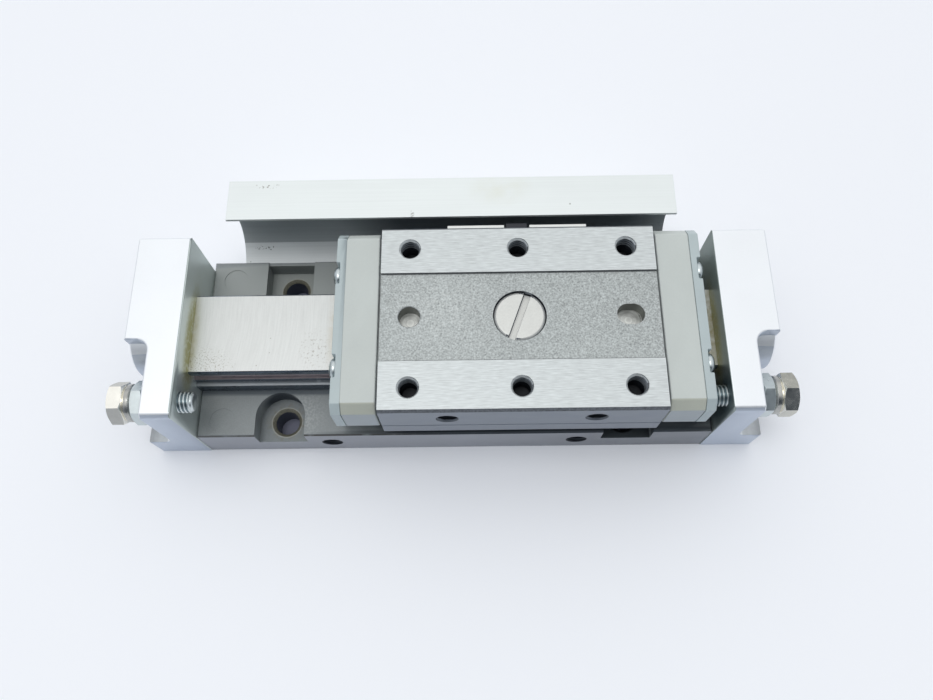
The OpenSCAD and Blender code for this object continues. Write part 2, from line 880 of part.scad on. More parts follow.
module magnet_plates() {
  color("#D5D7D5")
  for (side = [0, 1])
    translate([table_x, block_w / 2, 0])
      mirror([side, 0, 0])
        difference() {
          translate([sheet_from, 0, sheet_low])
            cube([sheet_to - sheet_from, sheet_t, sheet_top - sheet_low]);
          translate([magnet_screw_x, -1, magnet_screw_z])
            rotate([-90, 0, 0])
              cylinder(r = magnet_screw_r + cap_screw_gap, h = 5);
        }
}

module magnet() {
  color("#4A3F3A")
  translate([table_x - magnet_w / 2, block_w / 2, magnet_low])
    cube([magnet_w, magnet_t, magnet_top - magnet_low]);
}

module magnet_screws() {
  color("#A9ACAD")
  for (side = [0, 1])
    translate([table_x, 0, 0])
      mirror([side, 0, 0])
        translate([magnet_screw_x, block_w / 2 + sheet_t, magnet_screw_z])
          rotate([0, 0, 90])
            pan_head_screw(magnet_screw_r, magnet_screw_len, 2 * magnet_screw_r, 0.6);
}

/* ---- Stop bolts and lock nuts ---- */

// Right-hand stop bolt: head outside the plate, tip inside
module stop_bolt(turn) {
  nut_face = plate_mid + gap + nut_t;
  collar_x = nut_face + gap;
  head_x = collar_x + collar_t;
  shank_r = bolt_d / 2 - run;
  shank_x = bolt_tip + tip_bevel;
  rim_r = collar_r - collar_bevel;
  translate([0, -bolt_y, bolt_z]) {
    translate([bolt_tip, 0, 0]) cone_x(shank_r - tip_bevel, shank_r, tip_bevel);
    translate([shank_x, 0, 0]) bar_x(shank_r, collar_x - shank_x + eps);
    translate([collar_x, 0, 0]) cone_x(rim_r, collar_r, collar_bevel);
    translate([collar_x + collar_bevel, 0, 0]) bar_x(collar_r, collar_t - 2 * collar_bevel);
    translate([head_x - collar_bevel, 0, 0]) cone_x(collar_r, rim_r, collar_bevel + eps);
    translate([head_x, 0, 0]) hex_x(hex_af, head_t, turn);
  }
}

module lock_nut(turn) {
  translate([plate_mid + gap, -bolt_y, bolt_z])
    difference() {
      hex_x(hex_af, nut_t, turn);
      translate([-1, 0, 0]) bar_x(bolt_d / 2 + run, nut_t + 2);
    }
}

module stop_bolt_left() {
  color("#B9B6AC") mirror([1, 0, 0]) stop_bolt(30);
}

module stop_bolt_right() {
  color("#B9B6AC") stop_bolt(0);
}

module lock_nut_left() {
  color("#C3CACB") mirror([1, 0, 0]) lock_nut(45);
}

module lock_nut_right() {
  color("#C3CACB") lock_nut(0);
}

rail_body();
end_plate_left();
end_plate_right();
end_plate_screws();
bore_gaskets();
switch_rail();
switch_rail_screws();
guide_block();
end_cap_left();
end_cap_right();
cap_cover_left();
cap_cover_right();
rail_wipers();
cap_screws();
drive_pin();
piston();
piston_seals();
wear_rings();
piston_bumpers();
balls_front();
balls_back();
magnet_plates();
magnet();
magnet_screws();
stop_bolt_left();
stop_bolt_right();
lock_nut_left();
lock_nut_right();
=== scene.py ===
"""Finished pieces, finishes, floor and light for a compact pneumatic slide table."""

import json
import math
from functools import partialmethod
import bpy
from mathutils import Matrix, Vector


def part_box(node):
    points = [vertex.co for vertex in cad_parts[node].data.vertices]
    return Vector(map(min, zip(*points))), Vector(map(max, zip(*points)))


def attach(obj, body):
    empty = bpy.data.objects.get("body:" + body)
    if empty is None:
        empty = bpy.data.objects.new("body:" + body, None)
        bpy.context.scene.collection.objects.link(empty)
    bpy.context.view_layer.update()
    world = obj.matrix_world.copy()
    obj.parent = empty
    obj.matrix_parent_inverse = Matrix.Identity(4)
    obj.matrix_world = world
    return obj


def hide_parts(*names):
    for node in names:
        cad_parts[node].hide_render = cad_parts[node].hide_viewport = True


bl_info = {
    "name": "Pneumatic Slide Table",
    "version": (1, 0, 0),
    "blender": (4, 5, 0),
    "location": "View3D > Sidebar > Slide Table",
    "description": "Builds the finished pieces of a compact slide table around its CAD solids",
    "category": "Mesh",
}

import bmesh
import bpy
from bpy.props import FloatProperty, FloatVectorProperty, PointerProperty
from mathutils import Matrix, Vector

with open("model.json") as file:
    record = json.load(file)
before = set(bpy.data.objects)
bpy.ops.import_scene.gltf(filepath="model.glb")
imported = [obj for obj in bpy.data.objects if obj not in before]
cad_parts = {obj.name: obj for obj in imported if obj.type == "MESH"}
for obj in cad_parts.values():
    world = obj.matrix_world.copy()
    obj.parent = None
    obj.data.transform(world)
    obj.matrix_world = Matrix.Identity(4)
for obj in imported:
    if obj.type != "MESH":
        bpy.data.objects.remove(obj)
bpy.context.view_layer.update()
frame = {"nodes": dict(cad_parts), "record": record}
MM = 0.001
SIDES = ((-1, "left"), (1, "right"))


# ---- Small tools ----

def linear(code):
    """The linear colour of an sRGB hex code."""
    values = [int(code[i:i + 2], 16) / 255 for i in (1, 3, 5)]
    return [v / 12.92 if v <= 0.04045 else ((v + 0.055) / 1.055) ** 2.4 for v in values]


def rgba(colour):
    """A linear colour from an sRGB hex code or from the name of a colour property."""
    shade = linear(colour) if colour.startswith("#") else getattr(colours(), colour)
    return [*shade, 1.0]


def box_mm(node):
    """Lowest and highest corner of a CAD node in millimetres."""
    low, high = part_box(node)
    return low / MM, high / MM


def mount(name):
    """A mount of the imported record."""
    return next(m for m in frame["record"]["mounts"] if m["name"] == name)


def add(tree, kind, inputs=None, **settings):
    """Adds a node, applies its settings, and sets or links its inputs."""
    made = tree.nodes.new(kind)
    for key, value in settings.items():
        setattr(made, key, value)
    for key, value in (inputs or {}).items():
        if isinstance(value, bpy.types.Node):
            value = value.outputs[0]
        if isinstance(value, bpy.types.NodeSocket):
            tree.links.new(value, made.inputs[key])
        else:
            made.inputs[key].default_value = value
    return made


def sizes():
    return bpy.context.scene.slide_table_sizes


def colours():
    return bpy.context.scene.slide_table_colours


# ---- Properties ----

def colour_of(name, description, code):
    return FloatVectorProperty(name=name, description=description, subtype="COLOR",
                               size=3, min=0, max=1, default=linear(code))


def length_of(name, description, size, least=0):
    return FloatProperty(name=name, description=description, default=size * MM, min=least * MM,
                         unit="LENGTH", precision=5)


class SlideTableSizes(bpy.types.PropertyGroup):
    machined_edge: length_of("Machined edge", "Width of the broken edge on machined pieces", 0.14)
    plate_edge: length_of("Plate edge", "Width of the tumbled edge on the end plates", 0.3)
    cap_gap: length_of("Cap gap", "Width of the open joint between the block and an end cap", 0.36)
    cast_edge: length_of("Cast edge", "Width of the rounded edge on the cast body", 0.2)
    moulded_edge: length_of("Moulded edge", "Width of the rounded edge on moulded plastic", 0.3)
    lip_chamfer: length_of("Lip chamfer", "Width of the chamfer under the lip of the switch rail", 1.6)
    pin_swell: length_of(
        "Pin swell", "How far the flattened head of the drive pin spreads towards its hole", 0.18)
    small_edge: length_of("Small edge", "Width of the broken edge on screws, nuts and sheets", 0.1)
    pitch: length_of("Coarse pitch", "Pitch of the M4 threads", 0.7, 0.3)
    port_pitch: length_of("Port pitch", "Pitch of the M5 air ports", 0.8, 0.3)
    thread_depth: length_of("Thread depth", "Radial depth of a thread", 0.36, 0.1)


class SlideTableColours(bpy.types.PropertyGroup):
    plate: colour_of("End plates", "Satin anodised aluminium", "#EBEEF1")
    rail_skin: colour_of("Switch rail", "Anodised extrusion", "#E2E7E6")
    casting: colour_of("Casting", "Blasted iron of the body", "#868B8C")
    machined: colour_of("Machined sides", "Milled sides of the body", "#9FA2A9")
    ground: colour_of("Ground rail", "Ground top of the rail", "#CDCFCD")
    strips: colour_of("Block strips", "Ground strips of the block", "#C8CDCD")
    band: colour_of("Block band", "Blasted band of the block", "#A9AEAD")
    pin: colour_of("Drive pin", "Turned head of the drive pin", "#CDCECA")
    cap: colour_of("End caps", "Moulded end caps", "#C3C9C5")
    cover: colour_of("Covers", "Moulded covers of the end caps", "#B4C0C1")
    nickel: colour_of("Stop bolts", "Nickel plated bolt heads", "#EFEDE5")
    zinc: colour_of("Zinc plate", "Zinc plated threads and screws", "#D3DADA")
    grease: colour_of("Grease", "Aged bearing grease", "#A6A36C")
    floor: colour_of("Floor", "Pale floor", "#F8FAFE")


# ---- Finishes ----

# share of a noise pattern's range over which it is put to use
GRAIN_SPAN = (0.25, 0.75)
# radii between which a speck fades, in spacings of the specks
SPECK_FADE = (0.05, 0.13)
# millimetres over which turned or milled marks change along their length
MARK_CHANGE = 6


def calc(tree, operation, a, b=0.0, clamp=False):
    """One operation on two numbers or sockets."""
    return add(tree, "ShaderNodeMath", {0: a, 1: b}, operation=operation, use_clamp=clamp).outputs[0]


def vector(tree, operation, a, b, output=0):
    """One operation on two vectors."""
    return add(tree, "ShaderNodeVectorMath", {0: a, 1: b}, operation=operation).outputs[output]


def spread(tree, value, low, high, start=0.0, end=1.0, **settings):
    """Maps a value from the range low to high onto start to end, held at both ends."""
    return add(tree, "ShaderNodeMapRange", {0: value, 1: low, 2: high, 3: start, 4: end}, **settings)


def over(tree, mask, under, colour):
    """Lays a colour over what is under it, where the mask is 1."""
    return add(tree, "ShaderNodeMix", {0: mask, 6: under, 7: rgba(colour)}, data_type="RGBA").outputs[2]


def scaled(tree, place, size):
    """Coordinates in which a pattern has one size, or one each along X, Y and Z, in millimetres."""
    spans = size if isinstance(size, tuple) else [size] * 3
    return add(tree, "ShaderNodeMapping", {"Vector": place, "Scale": [1 / (MM * s) for s in spans]})


def noise(tree, point, detail):
    return add(tree, "ShaderNodeTexNoise", {"Vector": point, "Scale": 1.0, "Detail": detail})


def emptied(owner):
    """The node tree of a material or a world, without its nodes."""
    owner.use_nodes = True
    owner.node_tree.nodes.clear()
    return owner.node_tree


def finish(name, colour, metallic, roughness, layers, specks=None, stains_and_painted_light=()):
    """A surface whose tone, roughness and relief follow noise layers.

    A layer is (size in millimetres, detail, tone share, roughness share, relief in microns).
    Its size may also be a function that lays out the pattern's own coordinates. Specks are
    (spacing in millimetres, share, colour); a patch, whether a stain, painted shade or painted light, is
    what the patching function takes.
    """
    material = bpy.data.materials.get(name)
    if material:
        return material
    material = bpy.data.materials.new(name)
    tree = emptied(material)
    place = add(tree, "ShaderNodeTexCoord").outputs["Object"]
    tone, rough, normal = None, None, None
    for size, detail, tone_share, rough_share, relief in layers:
        point = size(tree, place) if callable(size) else scaled(tree, place, size)
        grain = noise(tree, point, detail)
        if tone_share:
            share = spread(tree, grain, *GRAIN_SPAN, 1 - tone_share, 1 + tone_share)
            tone = share if tone is None else calc(tree, "MULTIPLY", tone, share)
        if rough_share:
            share = spread(tree, grain, *GRAIN_SPAN, -rough_share, rough_share)
            rough = calc(tree, "ADD", roughness if rough is None else rough, share, True)
        if relief:
            bump = {"Height": grain, "Strength": 1.0, "Distance": relief * 1e-6}
            if normal:
                bump["Normal"] = normal
            normal = add(tree, "ShaderNodeBump", bump)
    shade = rgba(colour)
    if tone is not None:
        shade = add(tree, "ShaderNodeVectorMath", {0: shade[:3], 3: tone}, operation="SCALE")
    if specks:
        spacing, share, speck_colour = specks
        cells = add(tree, "ShaderNodeTexVoronoi", {"Vector": scaled(tree, place, spacing), "Scale": 1.0})
        near = spread(tree, cells.outputs["Distance"], *SPECK_FADE, 1.0, 0.0)
        pick = add(tree, "ShaderNodeSeparateXYZ", {0: cells.outputs["Color"]})
        chosen = calc(tree, "GREATER_THAN", pick, 1 - share)
        shade = over(tree, calc(tree, "MULTIPLY", near, chosen), shade, speck_colour)
    for patch in stains_and_painted_light:
        shade = patched(tree, place, shade, *patch)
    surface = {"Base Color": shade, "Metallic": metallic, "Roughness": roughness if rough is None else rough}
    if normal:
        surface["Normal"] = normal
    shader = add(tree, "ShaderNodeBsdfPrincipled", surface)
    add(tree, "ShaderNodeOutputMaterial", {"Surface": shader})
    return material


def arcs(centre, width):
    """Coordinates for turned or milled marks: arcs about an upright axis, a width apart in millimetres."""
    def build(tree, place):
        flat = vector(tree, "MULTIPLY", place, (1, 1, 0))
        away = vector(tree, "DISTANCE", flat, (centre[0] * MM, centre[1] * MM, 0), "Value")
        along = add(tree, "ShaderNodeSeparateXYZ", {0: place}).outputs["Y"]
        return add(tree, "ShaderNodeCombineXYZ", {
            0: calc(tree, "MULTIPLY", away, 1 / (width * MM)),
            1: calc(tree, "MULTIPLY", along, 1 / (MARK_CHANGE * MM))})
    return build


def patched(tree, place, shade, centre, reach, soft, size, low, high, colour, share=1.0):
    """Adds a patch of colour about a place, a stain or painted shade or light: full inside the reach, fading
    over soft, broken up by noise.
    """
    offset = vector(tree, "SUBTRACT", place, [c * MM for c in centre])
    away = vector(tree, "DIVIDE", offset, [r * MM for r in reach])
    away = vector(tree, "LENGTH", away, (0, 0, 0), "Value")
    inside = spread(tree, away, 1 - soft, 1 + soft, 1.0, 0.0)
    broken = spread(tree, noise(tree, scaled(tree, place, size), 4.0), low, high, 0.0, share)
    return over(tree, calc(tree, "MULTIPLY", inside, broken), shade, colour)


PLAIN = {
    # shot blasted and oiled: dull grey, finely grained, with cloudy patches
    "Blasted cast iron": ("casting", 0.35, 0.5, [
        (0.25, 2, 0.08, 0.05, 8), (2.2, 3, 0.07, 0.05, 0), ((9, 5, 5), 3, 0.07, 0.05, 0)],
        None, [((-29, -13.5, 10), (3.6, 4.2, 1.5), 0.5, 0.45, 0.42, 0.6, "#A7ABAA", 0.5),
               # painted shade: a dark band on the flange along the foot of the rail
               ((0, -9.1, 10), (70, 0.8, 1.5), 0.3, 2, 0.1, 0.3, "#4C545A", 0.9),
               ((0, -17.9, 10), (70, 0.2, 0.5), 0.3, 3, 0.3, 0.5, "#4E4A45", 0.85),
               ((-51.5, -13.8, 10), (1.9, 2.6, 0.6), 0.3, 4, 0, 0.5, "#6C7072", 0.5),
               # painted light: the flange behind the rail painted lighter
               ((0, 14, 10), (70, 5.2, 6), 0.05, 6, 0, 0.3, "#9CA19F", 0.8),
               # painted shadows: along the front edge under the table, on the curved wall of the front left
               # pocket, and on the flange under the table
               ((19.5, -17.5, 10), (38.5, 0.7, 0.6), 0.25, 9, 0, 0.1, "#282F36", 0.85),
               ((-33, -9.5, 7), (5, 2.6, 2.5), 0.3, 6, 0, 0.2, "#222D3B", 0.92),
               ((19.5, -13, 9), (38.5, 7, 3), 0.1, 9, 0, 0.1, "#3A4148", 0.85)]),
    # smoother and a little lilac, with faint lines along the body
    "Milled iron": ("machined", 0.75, 0.42, [
        ((6, 0.2, 0.2), 2, 0.05, 0.05, 2), ((7, 7, 3), 3, 0.07, 0.06, 0)],
        # painted shade: the front face painted darker towards its right end
        None, [((40, -18.2, 5), (26, 2, 9), 0.5, 9, 0, 0.1, "#83868C", 0.7)]),
    # mouth of a bolt hole, olive with old oil
    "Oily bevel": ("#858376", 0.45, 0.42, [((0.4, 0.4, 0.2), 3, 0.25, 0.1, 8)],
        # painted shadow: the hole mouth under the table at the front right
        None, [((33, -14, 5.6), (7, 7, 3), 0.1, 9, 0, 0.1, "#22282C", 0.95)]),
    # dark blue-grey with oil, darkened further as painted shade inside holes and slots
    "Oily bolt hole": ("#4B5361", 0.5, 0.35, [((2, 2, 0.3), 2, 0.2, 0.06, 4)]),
    # dark blue-grey under a film of oil
    "Polished rail flank": ("#68727D", 0.85, 0.3, [
        ((8, 8, 0.2), 2, 0.2, 0.06, 2), (2, 3, 0.12, 0.06, 0)]),
    # dark with a red-brown tinge
    "Oiled ball track": ("#857A7C", 0.6, 0.35, [((3, 1, 0.3), 3, 0.2, 0.1, 3)]),
    # wiped clean by the covers, with painted shade along its inner edges, in the corners at the rail flank
    "Worn rail ledge": ("#A3A9AD", 0.7, 0.4, [((6, 0.3, 1), 3, 0.12, 0.06, 2)],
        None, [((0, y, 13), (70, 0.5, 2), 0.3, 2, 0.1, 0.4, "#4A5056", 0.85) for y in (-7.9, 7.9)]),
    # almost white, satin, with the finest grain and a few marks
    "Clear anodised aluminium": ("plate", 0.75, 0.42, [
        (0.25, 2, 0.012, 0.03, 1.5), (9, 2, 0.015, 0.03, 0)],
        (2.4, 0.02, "#C4C6C2")),
    # edges of the plate: duller where sawn, and painted darker and a little blue as painted shade
    "Anodised sawn edge": ("#C9D1DD", 0.7, 0.42, [(0.25, 2, 0.015, 0.03, 1.5), (9, 2, 0.02, 0.03, 0)]),
    # rounded edge of the plate, rubbed grey
    "Rubbed anodised edge": ("#A4AEAC", 0.7, 0.42, [(0.8, 2, 0.05, 0.03, 1.2), (9, 2, 0.03, 0.03, 0)]),
    # low on the plate, blasted dull before anodising
    "Blasted anodised ledge": ("#D2D6D8", 0.15, 0.65, [
        (0.8, 2, 0.05, 0.03, 1.2), (9, 2, 0.03, 0.03, 0)]),
    # near white with faint die lines along its length
    "Anodised extrusion": ("rail_skin", 0.7, 0.42, [
        ((30, 0.3, 0.3), 2, 0.02, 0.04, 1.5), ((12, 6, 6), 2, 0.015, 0.02, 0)],
        (1.9, 0.035, "#9A9C95"),
        [((-35.5, 27.95, 24.4), (2.4, 0.5, 1), 0.3, 0.5, 0.57, 0.61, "#7D776E", 0.7),
         ((-7.3, 21.4, 24.4), (0.35, 0.7, 1), 0.3, 0.5, 0.42, 0.55, "#8B8C88", 0.7),
         ((9.5, 26.5, 24.4), (4, 2.2, 1), 0.8, 3, 0.2, 0.7, "#D2D2BA", 0.35)]),
    # web under the lip: dull, and painted darker than the skin as painted shade under the lip
    "Anodised extrusion inside": ("#A9AFB0", 0.15, 0.6, [
        ((30, 0.3, 0.3), 2, 0.05, 0.04, 1.5), ((12, 6, 6), 2, 0.05, 0.02, 0)],
        # painted shadow of the block on the web
        None, [((12.5, 24, 18), (30, 12, 12), 0.2, 9, 0, 0.1, "#4C5862", 0.75)]),
    # the leg: paler than the web, painted light that stands for the sloping leg catching more light, with
    # short scratches
    "Anodised extrusion leg": ("#DADEDE", 0.15, 0.6, [
        ((30, 0.3, 0.3), 2, 0.05, 0.04, 1.5), ((12, 6, 6), 2, 0.05, 0.02, 0)],
        (1.9, 0.08, "#6E706A"),
        [((-38.5, 21.9, 10.7), (2.1, 0.5, 0.5), 0.3, 0.45, 0.58, 0.62, "#5A5C58", 0.8)]),
    # silver with fine lines along the travel
    "Ground block steel": ("strips", 0.6, 0.48, [
        ((2.4, 0.17, 5), 3, 0.2, 0.06, 4), ((1.4, 0.5, 5), 2, 0.06, 0.03, 0),
        ((8, 4, 8), 2, 0.02, 0.03, 0)]),
    # darker, matt, with salt and pepper grain drawn coarse enough to show
    "Bead blasted steel": ("band", 0.5, 0.5, [(0.3, 2, 0.44, 0.1, 24), (0.9, 2, 0.06, 0.04, 0),
        (7, 2, 0.05, 0.02, 0)],
        None, [((-1, 1, 25), (7, 6, 2), 0.7, 0.4, 0.45, 0.65, "#D4D8D6", 0.45)]
        + [((12.5, y, 24.7), (60, 0.13, 1), 0.3, 3, 0, 0.1, "#3E4143", 0.8) for y in (-8.5, 8.5)]),
    # chamfered mouth of a side tap
    "Oily tap mouth": ("#5F656C", 0.6, 0.45, [(0.8, 2, 0.08, 0.05, 1.5), (3, 2, 0.05, 0.05, 0)]),
    # smooth, cool grey
    "Milled block steel": ("#868D97", 0.85, 0.36, [
        ((6, 6, 0.2), 2, 0.04, 0.05, 2), ((6, 6, 3), 2, 0.05, 0.05, 0)]),
    # left by the grinder: uneven, and painted dark, in part a painted reflection of the dark front
    "Rough bevel steel": ("#777B80", 0.7, 0.5, [(0.35, 3, 0.3, 0.1, 18)]),
    # crests of the cut threads, which catch the light
    "Cut thread steel": ("#858B90", 0.6, 0.4, [(0.5, 2, 0.12, 0.06, 2)]),
    # roots of the cut threads, and whole side taps, painted near black: painted shade in the holes
    "Oily thread steel": ("#282D34", 0.6, 0.4, [(0.5, 2, 0.12, 0.06, 2)]),
    # mid grey, faintly ringed
    "Bored steel": ("#666964", 0.8, 0.4, [((2, 2, 0.25), 2, 0.2, 0.06, 3)]),
    # blind end of a tapped hole, painted almost black: painted shade
    "Oily drill point": ("#2A2E33", 0.3, 0.5, [(0.6, 2, 0.2, 0.06, 3)]),
    # pale and matt with very fine marks
    "Turned steel": ("pin", 0.7, 0.4, [(0.3, 3, 0.05, 0.05, 4), (3, 2, 0.03, 0.03, 0)]),
    # the covers, a little smoother than the caps
    "Moulded blue-grey acetal": ("cover", 0, 0.36, [
        (0.35, 2, 0.015, 0.04, 4), ((5, 7, 5), 2, 0.04, 0.03, 0)]),
    # warm silver, lightly worn
    "Nickel plated steel": ("nickel", 1, 0.2, [(0.8, 3, 0.03, 0.05, 1.2), (3, 2, 0.06, 0.05, 0)]),
    # roots of the stop bolts, darker and bluer than the crests
    "Oily zinc plated root": ("#75848A", 1, 0.35, [(1.5, 2, 0.08, 0.04, 1.5), (9, 2, 0.03, 0.03, 0)]),
    # cool silver-blue
    "Bright zinc plate": ("zinc", 1, 0.33, [(0.8, 3, 0.03, 0.05, 1), (3, 2, 0.05, 0.05, 0)]),
    # lock nuts and cap screws: zinc plate, darker than the bright plate
    "Dull zinc plate": ("#C6CECF", 1, 0.3, [(0.8, 3, 0.04, 0.05, 1), (3, 2, 0.05, 0.05, 0)]),
    # oiled, on socket screws
    "Black oxide steel": ("#46484A", 0.8, 0.38, [(0.4, 2, 0.12, 0.06, 3)]),
    # bright at its cut edge
    "Bright rolled sheet": ("#DCDEDB", 0.9, 0.3, [((6, 0.2, 0.2), 2, 0.04, 0.05, 2)]),
    "Sintered magnet": ("#34363C", 0.3, 0.6, [(0.2, 3, 0.2, 0.08, 12)]),
    "Nitrile rubber": ("#2B2D2C", 0, 0.6, [(0.3, 2, 0.15, 0.05, 6)]),
    # ivory
    "Filled resin": ("#CFC8B4", 0, 0.5, [(0.3, 2, 0.05, 0.05, 4)]),
    "Polished bearing steel": ("#C2C6C8", 1, 0.12, [(2, 2, 0.03, 0.03, 0)]),
    # fine rings along its length
    "Turned aluminium": ("#BBC0C2", 0.95, 0.3, [((0.15, 6, 6), 2, 0.06, 0.06, 3)]),
}


def plain(name):
    """The finish that a name in the table stands for; a finish stays as it is."""
    return finish(name, *PLAIN[name]) if isinstance(name, str) else name


def spot_faced_iron():
    # the floor of a pocket: grey-green, with a painted pale ring and a brown oil stain about the hole
    floor = 5.6
    spots = [(p.x, p.y, floor) for p, _ in grid_places("body_bolts")]
    oil = [(spot, (3.9, 3.9, 2.5), 0.15, 0.6, 0.4, 0.65, "#6F6D62", 0.6) for spot in spots]
    # painted light on the back pockets, and a painted shadow on the front right one under the table
    painted_light_and_shade = [((0, 14, floor), (70, 6, 1), 0.05, 6, 0, 0.3, "#A3A8A4", 0.7),
               ((33, -14, floor), (7, 7, 3), 0.1, 9, 0, 0.1, "#2E363C", 0.9)]
    # a pale ring is painted about three of the four holes, a painted highlight at the edge of each mouth;
    # the hole in painted shadow has none
    rings = [(spot, (3.05, 3.05, 2.5), 0.04, 3, 0, 0.1, "#A2A39A", 0.7) for spot in spots[:2] + spots[3:]]
    return finish("Spot faced iron", "#777D7F", 0.4, 0.5, [
        (0.3, 2, 0.08, 0.06, 5), (2.2, 3, 0.1, 0.08, 0)], stains_and_painted_light=oil + painted_light_and_shade + rings)


def ground_rail_top():
    # face-ground steel: bright, with fine arcs across the rail, small dents and brown oil specks
    low, high = box_mm("rail_body")
    return finish("Ground rail steel", "ground", 0.7, 0.42, [
        (arcs((-92, 4), 0.3), 3, 0.07, 0.06, 2.5), ((3.5, 5, 5), 3, 0.025, 0.05, 0),
        (0.4, 2, 0.02, 0.02, 1.5)],
        (1.1, 0.1, "#9B988F"),
        [((low.x, -1, high.z), (0.9, 8.5, 1), 0.5, 1.2, 0.25, 0.7, "#B4B190", 0.7),
         ((low.x + 2.5, -6.2, high.z), (4.2, 2.6, 1), 0.6, 0.3, 0.55, 0.64, "#837D6C", 0.8),
         ((low.x + 23.5, -3.5, high.z), (2.6, 3, 1), 0.6, 0.45, 0.55, 0.66, "#8C857B", 0.6),
         ((low.x + 27, 0, high.z), (1.2, 8, 1), 0.6, 2, 0.3, 0.6, "#B3A993", 0.4),
         ((high.x, 0, high.z), (1.9, 8.5, 1), 0.5, 1.2, 0.25, 0.7, "#8F8660", 0.85)])


def greased_plate(side):
    # the inner face of a plate, with yellow-brown grease pushed out of the bore and rail end
    low, high = box_mm("rail_body")
    x = low.x if side < 0 else high.x
    return finish("Greased anodised aluminium " + ("left" if side < 0 else "right"),
                  # the right plate's inner face is painted darker than the left's: painted shade
                  "#DDE5E1" if side < 0 else "#B4BDB8", 0.8, 0.42, [
        (0.25, 2, 0.012, 0.03, 1.5), (9, 2, 0.015, 0.03, 0)],
        stains_and_painted_light=[((x, -1.5, high.z), (0.8, 10.8, 3.8), 0.4, 2.5, 0.2, 0.8, "#C2C2A4", 0.45),
                # painted shade: a dark blue-green patch low at the front, strong on the right plate
                ((x, -14, 18), (0.8, 4, 9), 0.35, 6, 0, 0.2, "#3F5560", 0.8 if side > 0 else 0.25),
                ((x, -1.5, high.z), (0.8, 9.4, 3.1), 0.3, 0.8, 0.2, 0.5, "grease", 0.9)])


def bored_floor(name):
    # drilled floor of a dowel hole: bright, with the rings of the drill
    centre = [c / MM for c in mount(name)["pos_m"][:2]]
    return finish("Drilled steel floor " + name, "#C4C6C2", 0.75, 0.35, [
        (arcs(centre, 0.35), 2, 0.3, 0.1, 12), (1.2, 2, 0.25, 0.06, 4)])


def cap_plastic(word="", tone="cap"):
    # moulded acetal: greenish grey, soft sheen, faint flow marks
    return finish("Moulded grey acetal" + word, tone, 0, 0.42, [
        (0.35, 2, 0.015, 0.04, 4), ((5, 9, 5), 2, 0.035, 0.03, 0)])


def shaded_nickel(word, tone):
    # flanks of the bolt heads: nickel painted darker, painted shade for their darker reflections
    return finish(word + " nickel plate", tone, 1, 0.24, [
        (0.8, 3, 0.08, 0.05, 1.2), (3, 2, 0.1, 0.05, 0)])


# ---- Mesh tools ----

# metres within which points are one, in CAD meshes and in grown ones, and below which an edge is a sliver
CAD_WELD = 2e-7
GROWN_WELD = 5e-7
CAD_SLIVER = 1e-7
GROWN_SLIVER = 2e-7
# faces that turn by less than this are one flat face
FLAT = math.radians(0.3)
# how strongly large faces lead the normals of rounded edges, up to 100
NORMAL_WEIGHT = 60


def settle(thing):
    """The evaluated mesh of an object, as a plain mesh, with the object removed."""
    bpy.context.view_layer.update()
    graph = bpy.context.evaluated_depsgraph_get()
    mesh = bpy.data.meshes.new_from_object(thing.evaluated_get(graph), preserve_all_data_layers=True,
                                           depsgraph=graph)
    old = thing.data
    bpy.data.objects.remove(thing)
    if old.users == 0:
        bpy.data.meshes.remove(old)
    return mesh


def temporary(mesh):
    thing = bpy.data.objects.new("work", mesh)
    bpy.context.scene.collection.objects.link(thing)
    return thing


def as_mesh(made, name):
    """A new mesh from a bmesh, which is freed."""
    mesh = bpy.data.meshes.new(name)
    made.to_mesh(mesh)
    made.free()
    return mesh


def merged(*nodes):
    """The CAD meshes of nodes in one, with doubles merged and flat faces joined."""
    made = bmesh.new()
    for node in nodes:
        made.from_mesh(frame["nodes"][node].data)
    bmesh.ops.remove_doubles(made, verts=made.verts, dist=CAD_WELD)
    bmesh.ops.dissolve_degenerate(made, edges=made.edges, dist=CAD_SLIVER)
    bmesh.ops.dissolve_limit(made, angle_limit=FLAT, verts=made.verts, edges=made.edges)
    return as_mesh(made, "merged")


def combine(mesh, other, operation="DIFFERENCE"):
    """A boolean of two meshes."""
    thing, tool = temporary(mesh), temporary(other)
    step = thing.modifiers.new("boolean", "BOOLEAN")
    step.operation, step.object, step.solver = operation, tool, "EXACT"
    made = settle(thing)
    bpy.data.objects.remove(tool)
    return made


def round_edges(mesh, width, segments=2, angle=28, chosen=None):
    """Rounds the edges sharper than the angle, or only those whose middle (in mm) is chosen."""
    work = bmesh.new()
    work.from_mesh(mesh)
    layers = work.edges.layers.float
    weights = layers.get("bevel_weight_edge") or layers.new("bevel_weight_edge")
    for edge in work.edges:
        sharp = len(edge.link_faces) == 2 and edge.calc_face_angle(0) > math.radians(angle)
        middle = (edge.verts[0].co + edge.verts[1].co) / 2 / MM
        edge[weights] = 1.0 if sharp and (chosen is None or chosen(middle)) else 0.0
        edge.smooth = not sharp or edge[weights] > 0
    for face in work.faces:
        face.smooth = True
    work.to_mesh(mesh)
    work.free()
    thing = temporary(mesh)
    step = thing.modifiers.new("edges", "BEVEL")
    step.width, step.segments, step.limit_method = width, segments, "WEIGHT"
    step.use_clamp_overlap = chosen is None
    step.miter_outer = "MITER_ARC"
    even = thing.modifiers.new("even", "WEIGHTED_NORMAL")
    even.mode, even.weight, even.keep_sharp = "FACE_AREA", NORMAL_WEIGHT, True
    return settle(thing)


